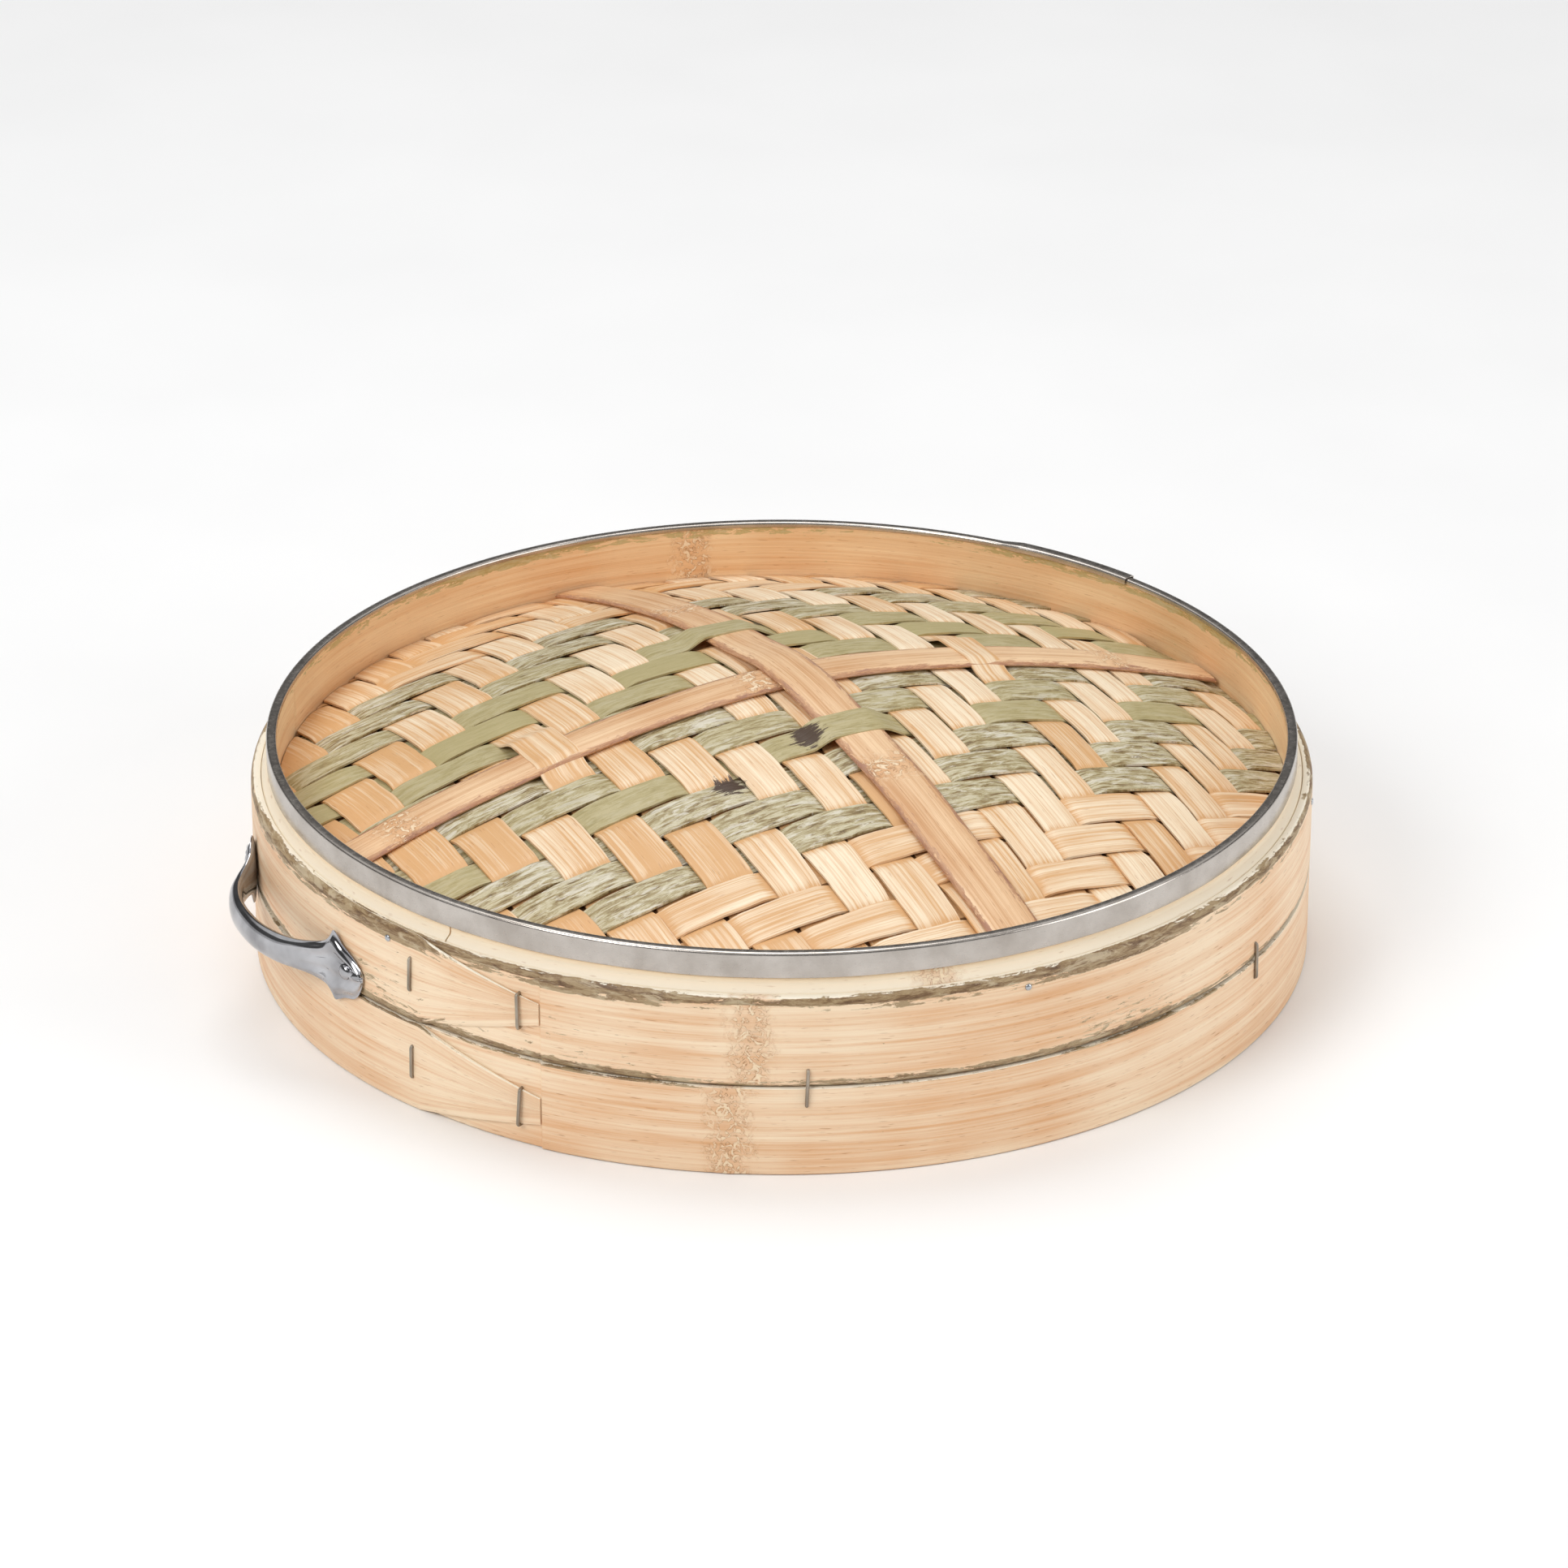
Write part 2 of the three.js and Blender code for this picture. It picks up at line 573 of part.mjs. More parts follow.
const lid = new THREE.Group();
lid.add(
  named('upper_outer_hoop', drilled(outerHoop(upperHoop), wallHoles), 'bamboo'),
  named('lower_outer_hoop', drilled(outerHoop(lowerHoop), wallHoles), 'bamboo'),
  named('inner_hoop', drilled(innerHoop(), wallHoles), 'paleBamboo'),
  named('dome_retaining_hoop', drilled(domeRetainer(), wallHoles), 'bamboo'),
  named('steel_rim_band', steelBand(), 'stainless'),
  named('woven_dome_mat', domeShell(0, MAT_THICKNESS), 'wovenBamboo'),
  named('dome_lining_mat', domeShell(MAT_THICKNESS + FIT_GAP, LINING_THICKNESS), 'lining'),
  named('cross_slat', slat(CROSS_SLAT, () => 0), 'slatBamboo'),
  named('long_slat', slat(LONG_SLAT, crossingHump), 'slatBamboo'),
  named('bow_handle', bowHandle(), 'chrome'),
);
staples.forEach((s) => lid.add(named(s.name, staple(s), 'wire')));
NAIL_ANGLES.forEach((angle, i) => lid.add(named(`hoop_nail_${i + 1}`, nail(angle), 'zinc')));
screwAngles.forEach((angle, i) => {
  lid.add(named(`handle_screw_${i + 1}`, handleScrew(angle), 'zinc'));
  lid.add(named(`handle_washer_${i + 1}`, washer(angle), 'zinc'));
  lid.add(named(`handle_nut_${i + 1}`, nut(angle), 'zinc'));
});

// The handle stands out on one side only, so the lid's axis is off the origin by half of that.
lid.position.x = (handleReach - LID_RADIUS) / 2;

const part = new THREE.Group();
part.add(lid);
export default part;
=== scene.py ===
import math

import bmesh
import bpy
import numpy as np
from mathutils import Matrix, Vector


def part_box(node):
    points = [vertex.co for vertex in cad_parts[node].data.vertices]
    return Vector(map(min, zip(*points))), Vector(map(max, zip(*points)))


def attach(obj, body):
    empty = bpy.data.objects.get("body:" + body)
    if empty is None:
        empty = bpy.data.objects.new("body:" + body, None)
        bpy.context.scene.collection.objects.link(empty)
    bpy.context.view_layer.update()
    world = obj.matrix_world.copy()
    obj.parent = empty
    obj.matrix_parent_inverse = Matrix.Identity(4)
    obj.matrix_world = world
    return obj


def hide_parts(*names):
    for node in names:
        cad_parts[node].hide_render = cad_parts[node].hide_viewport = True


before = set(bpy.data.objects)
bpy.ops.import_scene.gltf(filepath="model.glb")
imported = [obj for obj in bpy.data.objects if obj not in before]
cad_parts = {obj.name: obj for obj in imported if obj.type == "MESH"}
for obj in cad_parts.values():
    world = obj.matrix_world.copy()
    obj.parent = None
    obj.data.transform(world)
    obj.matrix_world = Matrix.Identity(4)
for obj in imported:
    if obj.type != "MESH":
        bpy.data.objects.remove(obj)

bl_info = {
    "name": "Bamboo Steamer Lid",
    "version": (1, 0, 0),
    "blender": (4, 5, 0),
    "location": "3D View > Sidebar > Steamer Lid",
    "description": "Builds the woven dome, hoops, steel band and fittings of a steamer lid",
    "category": "Add Mesh",
}

MM = 0.001
TURN = 2 * np.pi
FIT_GAP = 0.3 * MM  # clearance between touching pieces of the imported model
NO_KNOT = 0.2  # distance to the nearest knot where there is none
FACTS = ("bark", "green", "knot", "tone")  # what the bamboo materials read at each point
SPAN_ENDS = ("From Min", "From Max", "To Min", "To Max")
MATH, SPAN, MIX = "ShaderNodeMath", "ShaderNodeMapRange", "ShaderNodeMix"
NOISE, MAPPING = "ShaderNodeTexNoise", "ShaderNodeMapping"
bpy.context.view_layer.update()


def middle(node):
    """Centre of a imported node's box"""
    low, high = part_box(node)
    return (low + high) / 2


def radius_of(node):
    """Outside radius of a packed ring"""
    low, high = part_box(node)
    return (high.y - low.y) / 2


def heights_of(node):
    """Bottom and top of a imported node"""
    return [corner.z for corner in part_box(node)]


AXIS = Vector((middle("inner_hoop").x, middle("inner_hoop").y, 0))
WALL_RADIUS = radius_of("lower_outer_hoop")
INNER_HOOP_RADIUS = radius_of("inner_hoop")
MAT_RADIUS = radius_of("woven_dome_mat")
LOWER_HOOP = heights_of("lower_outer_hoop")
UPPER_HOOP = heights_of("upper_outer_hoop")
INNER_HOOP = heights_of("inner_hoop")
RETAINER = heights_of("dome_retaining_hoop")
MAT = heights_of("woven_dome_mat")
MAT_EDGE = MAT[0] + 2.4 * MM  # top of the cover's edge, above its thickness
WEAVE_TURN = math.radians(3.8)


# ---------------------------------------------------------------- sizes and colours to change
class LidHoopSizes(bpy.types.PropertyGroup):
    """Sizes of the bent bamboo hoops"""

    outer_wall: bpy.props.FloatProperty(
        name="Outer hoop wall", description="Thickness of the two outer hoops",
        default=4.9 * MM, min=2 * MM, unit="LENGTH")
    inner_wall: bpy.props.FloatProperty(
        name="Inner hoop wall", description="Thickness of the inner hoop",
        default=7 * MM, min=4 * MM, unit="LENGTH")
    rim_wall: bpy.props.FloatProperty(
        name="Rim wall", description="Thickness of the inner hoop where it is pared for the band",
        default=3.3 * MM, min=1 * MM, unit="LENGTH")
    retainer_wall: bpy.props.FloatProperty(
        name="Retaining hoop wall", description="Thickness of the hoop under the edge of the dome",
        default=6.6 * MM, min=2 * MM, unit="LENGTH")
    lap_start: bpy.props.FloatProperty(
        name="Lap start", description="Where the under end of the outer hoops lies",
        default=math.radians(186), subtype="ANGLE")
    lap_length: bpy.props.FloatProperty(
        name="Lap length", description="How far the ends of the outer hoops overlap",
        default=math.radians(34.3), subtype="ANGLE")
    tongue: bpy.props.FloatProperty(
        name="Tongue", description="Stretch over which the outer end narrows to its tongue",
        default=math.radians(15.3), subtype="ANGLE")
    bevel: bpy.props.FloatProperty(
        name="Bark bevel", description="Height of the rounded bark corner on the upper hoop",
        default=4.8 * MM, min=1 * MM, unit="LENGTH")


class LidWeaveSizes(bpy.types.PropertyGroup):
    """Sizes of the domed weave"""

    warp_pitch: bpy.props.FloatProperty(
        name="Warp pitch", description="Spacing of the strips along the long slat, beside it",
        default=23.53 * MM, min=5 * MM, unit="LENGTH")
    warp_narrowing: bpy.props.FloatProperty(
        name="Warp narrowing", description="How much the spacing changes from strip to strip",
        default=0.2464 * MM, min=0.001 * MM, unit="LENGTH")
    weft_pitch: bpy.props.FloatProperty(
        name="Weft pitch", description="Spacing of the strips along the cross slat",
        default=22.4 * MM, min=5 * MM, unit="LENGTH")
    weft_centre: bpy.props.FloatProperty(
        name="Weft centre", description="Distance of the strip under the cross slat from the axis",
        default=12.5 * MM, unit="LENGTH")
    strip: bpy.props.FloatProperty(
        name="Strip thickness", description="Thickness of one woven strip",
        default=1.1 * MM, min=0.3 * MM, unit="LENGTH")
    rise: bpy.props.FloatProperty(
        name="Rise", description="Height of the dome above its edge",
        default=MAT[1] - MAT_EDGE, min=0, unit="LENGTH")
    power: bpy.props.FloatProperty(
        name="Roundness", description="2 is a parabola, 1 is a cone",
        default=1.75, min=1, max=4, subtype="FACTOR")


class LidFittingSizes(bpy.types.PropertyGroup):
    """Sizes of the staples' wire and the handle's feet"""

    wire: bpy.props.FloatProperty(
        name="Wire", description="Diameter of the staples' wire",
        default=1.7 * MM, min=0.5 * MM, unit="LENGTH")
    plate: bpy.props.FloatProperty(
        name="Foot thickness", description="Thickness of the feet against the wall",
        default=2.6 * MM, min=1 * MM, unit="LENGTH")


class LidColours(bpy.types.PropertyGroup):
    """Main colours, as the eye sees them"""

    bamboo: bpy.props.StringProperty(
        name="Planed bamboo", description="sRGB hex value of the outer hoops", default="F8E0C0")
    inner: bpy.props.StringProperty(
        name="Inner bamboo", description="sRGB hex value of the inner hoop", default="F8D8AC")
    warp: bpy.props.StringProperty(
        name="Woven bamboo", description="sRGB hex value of the bare woven strips",
        default="F9E6C8")
    bark: bpy.props.StringProperty(
        name="Fresh bark", description="sRGB hex value of the green bark on the woven strips",
        default="A99C69")


# ---------------------------------------------------------------- helpers
def linear(hex_colour):
    """Linear colour from an sRGB hex value"""
    values = [int(hex_colour[i:i + 2], 16) / 255 for i in (0, 2, 4)]
    return (*(v / 12.92 if v <= 0.04045 else ((v + 0.055) / 1.055) ** 2.4 for v in values), 1.0)


def add(tree, kind, settings, out=0):
    """Adds a node. Lower-case settings are its properties, the others its inputs, given a value, a
    hex colour or a socket to link. `stops` fills a colour ramp, `span` the ends of a map range.
    Returns the output socket asked for."""
    node = tree.nodes.new(kind)
    settings = dict(settings)
    stops = settings.pop("stops", ())
    settings.update(zip(SPAN_ENDS, settings.pop("span", ())))
    inputs = {}
    for key, value in settings.items():
        if isinstance(key, str) and key[0].islower():
            setattr(node, key, value)
        else:
            inputs[key] = value
    if stops:
        ramp = node.color_ramp.elements
        while len(ramp) < len(stops):
            ramp.new(0.5)
        for element, (position, colour) in zip(ramp, stops):
            element.position = position
            element.color = linear(colour) if isinstance(colour, str) else (*[colour] * 3, 1)
    for key, value in inputs.items():
        socket = node.inputs[key]
        if isinstance(value, bpy.types.NodeSocket):
            tree.links.new(value, socket)
        else:
            hex_colour = socket.type == "RGBA" and isinstance(value, str)
            socket.default_value = linear(value) if hex_colour else value
    return node.outputs[out]


def new_material(name):
    """An empty material and its node tree"""
    material = bpy.data.materials.new(name)
    material.use_nodes = True
    material.node_tree.nodes.clear()
    return material, material.node_tree


def close_material(tree, shader):
    """Links the shader to the material's output."""
    output = tree.nodes.new("ShaderNodeOutputMaterial")
    tree.links.new(shader, output.inputs["Surface"])


def new_tree(name, source, result, sizes):
    """A Geometry Nodes tree with a geometry input and output, number inputs and a finish. Returns
    it with its input sockets."""
    tree = bpy.data.node_groups.new(name, "GeometryNodeTree")
    face = tree.interface
    face.new_socket(name=source, in_out="INPUT", socket_type="NodeSocketGeometry")
    for size, default in sizes.items():
        socket = face.new_socket(name=size, in_out="INPUT", socket_type="NodeSocketFloat")
        socket.default_value = default
    face.new_socket(name="Finish", in_out="INPUT", socket_type="NodeSocketMaterial")
    face.new_socket(name=result, in_out="OUTPUT", socket_type="NodeSocketGeometry")
    return tree, tree.nodes.new("NodeGroupInput").outputs


def close_tree(tree, geometry, finish):
    """Ends a tree with real geometry that has its finish. Returns the tree."""
    real = add(tree, "GeometryNodeRealizeInstances", {"Geometry": geometry})
    done = add(tree, "GeometryNodeSetMaterial", {"Geometry": real, "Material": finish})
    tree.links.new(done, tree.nodes.new("NodeGroupOutput").inputs[0])
    return tree


def store(mesh, fact, values, kind="FLOAT", field="value"):
    """Stores a fact for each point of a mesh."""
    layer = mesh.attributes.new(fact, kind, "POINT")
    layer.data.foreach_set(field, np.ascontiguousarray(values, np.float32).ravel())


def mesh_piece(name, verts, faces, grain, facts=None, sharp=math.radians(35)):
    """A mesh object from arrays, with a grain UV map, one pair for each face corner, and a row of
    FACTS for each point."""
    mesh = bpy.data.meshes.new(name)
    mesh.from_pydata([tuple(v) for v in verts], [], faces)
    layer = mesh.uv_layers.new(name="Grain")
    layer.data.foreach_set("uv", np.asarray(grain, np.float32).ravel())
    if facts:
        for fact, values in zip(FACTS, np.array(facts).T):
            store(mesh, fact, values)
    work = bmesh.new()
    work.from_mesh(mesh)
    bmesh.ops.recalc_face_normals(work, faces=work.faces)
    work.to_mesh(mesh)
    work.free()
    mesh.shade_smooth()
    mesh.set_sharp_from_angle(angle=sharp)
    piece = bpy.data.objects.new(name, mesh)
    bpy.context.scene.collection.objects.link(piece)
    return piece


def place_piece(piece, material, slot, *nodes):
    """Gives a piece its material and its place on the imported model."""
    if material is not None:
        piece.data.materials.clear()
        piece.data.materials.append(material)
    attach(piece, "root")
    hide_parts(*nodes)
    return piece


def baked(name, tree, values, host, sharp=math.radians(35)):
    """Runs a Geometry Nodes tree on a host mesh and keeps the result as a plain mesh."""
    carrier = bpy.data.objects.new(name + "_host", host)
    bpy.context.scene.collection.objects.link(carrier)
    modifier = carrier.modifiers.new("Build", "NODES")
    modifier.node_group = tree
    for item in tree.interface.items_tree:
        if item.item_type == "SOCKET" and item.in_out == "INPUT" and item.name in values:
            modifier[item.identifier] = values[item.name]
    bpy.context.view_layer.update()
    evaluated = carrier.evaluated_get(bpy.context.evaluated_depsgraph_get())
    mesh = bpy.data.meshes.new_from_object(evaluated)
    mesh.name = name
    carrier.modifiers.remove(modifier)
    bpy.data.objects.remove(carrier)
    mesh.set_sharp_from_angle(angle=sharp)
    piece = bpy.data.objects.new(name, mesh)
    bpy.context.scene.collection.objects.link(piece)
    return piece


def smooth(low, high, x):
    """0 below `low`, 1 above `high`, and a soft step between them"""
    t = np.clip((x - low) / (high - low), 0, 1)
    return t * t * (3 - 2 * t)


def waves(parts, place, seed=0.0):
    """A sum of sine waves, each given by its size, its rate and its share of the seed"""
    return sum(size * math.sin(rate * place + share * seed) for size, rate, share in parts)


def rounded(corners, radii, steps=3):
    """A closed outline with its corners rounded. Returns its points and each one's corner."""
    points, source = [], []
    count = len(corners)
    for i, (corner, radius) in enumerate(zip(corners, radii)):
        here = np.array(corner, float)
        before = np.array(corners[i - 1], float) - here
        after = np.array(corners[(i + 1) % count], float) - here
        reach = min(radius, 0.45 * np.linalg.norm(before), 0.45 * np.linalg.norm(after))
        a = here + before / np.linalg.norm(before) * reach
        b = here + after / np.linalg.norm(after) * reach
        for t in np.linspace(0, 1, steps):
            points.append((1 - t) ** 2 * a + 2 * t * (1 - t) * here + t ** 2 * b)
            source.append(i)
    return np.array(points), source


def sweep(stations, along, closed=False):
    """Joins outlines in space. Returns vertices, faces and the grain of each face corner."""
    stations = np.asarray(stations, float)
    count, size, _ = stations.shape
    verts = stations.reshape(-1, 3)
    loop = np.concatenate([stations[0], stations[0][:1]])
    across = np.concatenate([[0], np.cumsum(np.linalg.norm(np.diff(loop, axis=0), axis=1))])
    faces, grain = [], []
    for s in range(count if closed else count - 1):
        t = (s + 1) % count
        ahead = along[s + 1] if s + 1 < len(along) else 2 * along[s] - along[s - 1]
        for i in range(size):
            j = (i + 1) % size
            faces.append((s * size + i, s * size + j, t * size + j, t * size + i))
            grain += [(along[s], across[i]), (along[s], across[i + 1]),
                      (ahead, across[i + 1]), (ahead, across[i])]
    if not closed:
        for s in (0, count - 1):
            ring = [s * size + i for i in range(size)]
            faces.append(tuple(ring))
            centre = stations[s].mean(0)
            for i in range(size):
                grain.append((along[s] + np.linalg.norm(stations[s][i] - centre) * 0.2, across[i]))
    return verts, faces, grain


def ring_place(radius, angle, height):
    """A point round the lid's axis"""
    return AXIS.x + radius * np.cos(angle), AXIS.y + radius * np.sin(angle), height


# ---------------------------------------------------------------- materials
def bamboo(name, pale, deep, skin, fibre=1.2 * MM, lines=0.5, fleck=0.5, gloss=0.48, fresh=None,
           seed=0.0, scorch=()):
    """Planed or split culm wood. Its fibre bundles run along the strip as fine streaks with short
    dark dashes. The skin, where it is left on, is mottled, with a waxy bloom that flakes. `skin`
    gives its colours from cracks to bloom, `lines` how strongly the fibres show."""
    if name in bpy.data.materials:
        return bpy.data.materials[name]
    material, tree = new_material(name)
    grain = add(tree, "ShaderNodeUVMap", {"uv_map": "Grain"})
    place = add(tree, "ShaderNodeTexCoord", {}, "Object")
    bark, green, knot, tone = (
        add(tree, "ShaderNodeAttribute", {"attribute_name": fact}, "Fac") for fact in FACTS)

    # fibres: the bundles are about 0.5 mm apart, drawn `fibre` apart so that they show, in warmer
    # patches about 70 mm wide
    fine_at = add(tree, MAPPING, {
        "Vector": grain, "Location": (seed, seed, 0), "Scale": (1 / (90 * MM), 1 / fibre, 1)})
    fine = add(tree, NOISE, {"Vector": fine_at, "Scale": 1.0, "Detail": 3.0, "Roughness": 0.65})
    broad_at = add(tree, MAPPING, {
        "Vector": grain, "Location": (seed, seed, 0), "Scale": (1 / (200 * MM), 1 / (6 * MM), 1)})
    broad = add(tree, NOISE, {"Vector": broad_at, "Scale": 1.0, "Detail": 3.0, "Roughness": 0.6})
    patch = add(tree, NOISE, {"Vector": place, "Scale": 14.0, "Detail": 2.0, "Roughness": 0.5})
    dash_at = add(tree, MAPPING, {
        "Vector": grain, "Location": (seed, 3, 0), "Scale": (1 / (9 * MM), 1 / (0.9 * MM), 1)})
    dash = add(tree, NOISE, {"Vector": dash_at, "Scale": 1.0, "Detail": 1.0, "Roughness": 0.5})

    fine_share = add(tree, SPAN, {"Value": fine, "span": (0.42, 0.68, 0, lines)})
    broad_share = add(tree, SPAN, {"Value": broad, "span": (0.38, 0.68, 0, 0.58)})
    patch_share = add(tree, SPAN, {"Value": patch, "span": (0.35, 0.7, -0.15, 0.35)})
    streak = add(tree, MATH, {"operation": "ADD", 0: fine_share, 1: broad_share})
    warm = add(tree, MATH, {"operation": "ADD", 0: patch_share, 1: streak})
    share = add(tree, MATH, {"operation": "ADD", "use_clamp": True, 0: warm, 1: tone})
    wood = add(tree, MIX, {"data_type": "RGBA", 0: share, 6: pale, 7: deep}, 2)
    flecks = add(tree, SPAN, {"Value": dash, "span": (0.66, 0.76, 0, fleck)})
    fresh_cut = add(tree, SPAN, {"Value": tone, "span": (-0.3, -0.9)})
    cut_wood = add(tree, MIX, {"data_type": "RGBA", 0: fresh_cut, 6: wood, 7: "FBF1DD"}, 2)
    flecked = add(tree, MIX, {
        "data_type": "RGBA", "blend_type": "MULTIPLY", 0: flecks, 6: cut_wood, 7: "B98A5C"}, 2)

    # knots: a ragged scar across the strip in a scuffed zone of curled splinters, 3 to 4 mm long
    tangle = add(tree, NOISE, {
        "Vector": place, "Scale": 1 / (6 * MM), "Detail": 4.0, "Roughness": 0.6})
    splinter = add(tree, NOISE, {
        "Vector": place, "Scale": 1 / (4.2 * MM), "Detail": 2.0, "Roughness": 0.5,
        "Distortion": 1.6})
    shifted = add(tree, MATH, {"operation": "SUBTRACT", 0: tangle, 1: 0.5})
    ragged = add(tree, MATH, {"operation": "MULTIPLY_ADD", 0: shifted, 1: 26 * MM, 2: knot})
    zone = add(tree, SPAN, {"Value": ragged, "span": (3 * MM, 13 * MM, 1.0, 0.0)})
    warmed = add(tree, MATH, {"operation": "MULTIPLY", 0: zone, 1: 0.45})
    tinted = add(tree, MIX, {"data_type": "RGBA", 0: warmed, 6: flecked, 7: "DDA878"}, 2)
    bare = add(tree, SPAN, {"Value": splinter, "span": (0.53, 0.6, 0, 0.8)})
    scuff = add(tree, MATH, {"operation": "MULTIPLY", 0: bare, 1: zone})
    level = add(tree, MATH, {"operation": "SUBTRACT", 0: splinter, 1: 0.51})
    contour = add(tree, MATH, {"operation": "ABSOLUTE", 0: level})
    curl = add(tree, SPAN, {"Value": contour, "span": (0.006, 0.022, 0.75, 0.0)})
    cracks = add(tree, MATH, {"operation": "MULTIPLY", 0: curl, 1: zone})
    scuffed = add(tree, MIX, {"data_type": "RGBA", 0: scuff, 6: tinted, 7: "F7E3C2"}, 2)
    knotted = add(tree, MIX, {"data_type": "RGBA", 0: cracks, 6: scuffed, 7: "B07E52"}, 2)

    # bark: mottled skin, streaked along the strip and thinner where it has been scraped
    blotch_at = add(tree, MAPPING, {
        "Vector": grain, "Location": (seed, 7, 0), "Scale": (1 / (13 * MM), 1 / (2.6 * MM), 1)})
    blotch = add(tree, NOISE, {
        "Vector": blotch_at, "Scale": 1.0, "Detail": 6.0, "Roughness": 0.74, "Distortion": 0.5})
    bloom = add(tree, NOISE, {
        "Vector": blotch_at, "Scale": 0.6, "Detail": 6.0, "Roughness": 0.72, "Distortion": 1.0})
    crackle, dull, main, light, bloom_colour = skin
    aged_skin_and_rim_shade = add(tree, "ShaderNodeValToRGB", {
        "Fac": blotch,
        "stops": [(0.33, crackle), (0.42, dull), (0.5, main), (0.58, light), (0.7, main)]})
    bloomed = add(tree, SPAN, {"Value": bloom, "span": (0.52, 0.6, 0, 0.75)})
    waxy = add(tree, MIX, {"data_type": "RGBA", 0: bloomed, 6: aged_skin_and_rim_shade, 7: bloom_colour}, 2)
    fresh_share = add(tree, SPAN, {"Value": blotch, "span": (0.3, 0.7)})
    young = add(tree, MIX, {"data_type": "RGBA", 0: fresh_share, 6: fresh or main, 7: "BDAF82"}, 2)
    hide = add(tree, MIX, {"data_type": "RGBA", 0: green, 6: waxy, 7: young}, 2)
    worn = add(tree, MATH, {"operation": "MULTIPLY_ADD", 0: blotch, 1: 2.0, 2: bark})
    cover = add(tree, SPAN, {"Value": worn, "span": (1.38, 1.5)})
    surface = add(tree, MIX, {"data_type": "RGBA", 0: cover, 6: knotted, 7: hide}, 2)

    # scorch marks left by the flame that bent the strips
    for spot, size in scorch:
        away = add(tree, "ShaderNodeVectorMath", {
            "operation": "DISTANCE", 0: place, 1: spot}, "Value")
        torn = add(tree, MATH, {"operation": "MULTIPLY_ADD", 0: blotch, 1: size * 3, 2: away})
        burnt = add(tree, SPAN, {"Value": torn, "span": (size * 2.25, size * 2.4, 0.96, 0.0)})
        surface = add(tree, MIX, {"data_type": "RGBA", 0: burnt, 6: surface, 7: "3C2210"}, 2)

    relief = add(tree, MATH, {"operation": "MULTIPLY_ADD", 0: scuff, 1: 0.8, 2: fine})
    raised = add(tree, MATH, {"operation": "MULTIPLY_ADD", 0: cracks, 1: -0.8, 2: relief})
    bump = add(tree, "ShaderNodeBump", {"Height": raised, "Strength": 0.6, "Distance": 0.5 * MM})
    rough = add(tree, SPAN, {"Value": fine, "span": (0.3, 0.7, gloss - 0.06, gloss + 0.12)})
    shader = add(tree, "ShaderNodeBsdfPrincipled", {
        "Base Color": surface, "Roughness": rough, "IOR": 1.5, "Normal": bump})
    close_material(tree, shader)
    return material


# the outer hoops' bark colours, browned in part so that the seam's bark also stands for painted
# shade
OLD_BARK = ("50351F", "6F5136", "8F7350", "AD9572", "C9B799")
WEFT_BARK = ("5A4526", "8E784C", "B0A27A", "CFC6A8", "E0DACA")
RIM_BARK = ("94763F", "B08E50", "BFA263", "D3BD86", "DCCBA4")
SLAT_BARK = ("6E4636", "9A6A4E", "B98562", "C99C76", "A87A66")


def planed_bamboo():
    # Bamboo, split, planed and heat-bent: cream to peach, silky, with long straight streaks.
    colours = bpy.context.scene.lid_colours
    return bamboo("Planed bamboo", colours.bamboo, "E2AE7E", OLD_BARK, 1.3 * MM, 0.4, 0.5, seed=2.0)


def inner_bamboo():
    # The culm's inner side, planed: more orange than the outside and a little duller.
    colours = bpy.context.scene.lid_colours
    return bamboo("Inner planed bamboo", colours.inner, "E4B27E", RIM_BARK, 1.3 * MM, 0.3, 0.35,
                  0.5, seed=5.0)


def woven_bamboo():
    # Strips about 1 mm thick split from the culm: the outermost keep their green, waxy skin.
    colours = bpy.context.scene.lid_colours
    scorch = []
    for x, y, size in ((-14, -53, 10), (-66, -72, 9)):
        spot = Matrix.Rotation(WEAVE_TURN, 3, "Z") @ Vector((x * MM, y * MM, 0)) + AXIS
        reach = spot.to_2d() - AXIS.to_2d()
        spot.z = dome_height(reach.length)
        scorch.append((tuple(spot), size * MM))
    return bamboo("Split woven bamboo", colours.warp, "DBAB76", WEFT_BARK, 1.4 * MM, 0.8, 0.4, 0.46,
                  fresh=colours.bark, seed=9.0, scorch=scorch)


def lining_bamboo():
    # Strips from the middle of the culm wall, unplaned: duller and browner than the cover, and
    # painted darker still as painted shade, since they show only through the cover's gaps.
    return bamboo("Unplaned lining bamboo", "8A6238", "5A3A1E", OLD_BARK, 1.4 * MM, 0.6, 0.6,
                  0.6, seed=13.0)


def slat_bamboo():
    # Thicker split slats, their edges rounded by the knife and darkened by heat.
    return bamboo("Split slat bamboo", "F3D1A8", "CF9C6C", SLAT_BARK, 1.3 * MM, 0.5, 0.5,
                  0.44, seed=17.0)


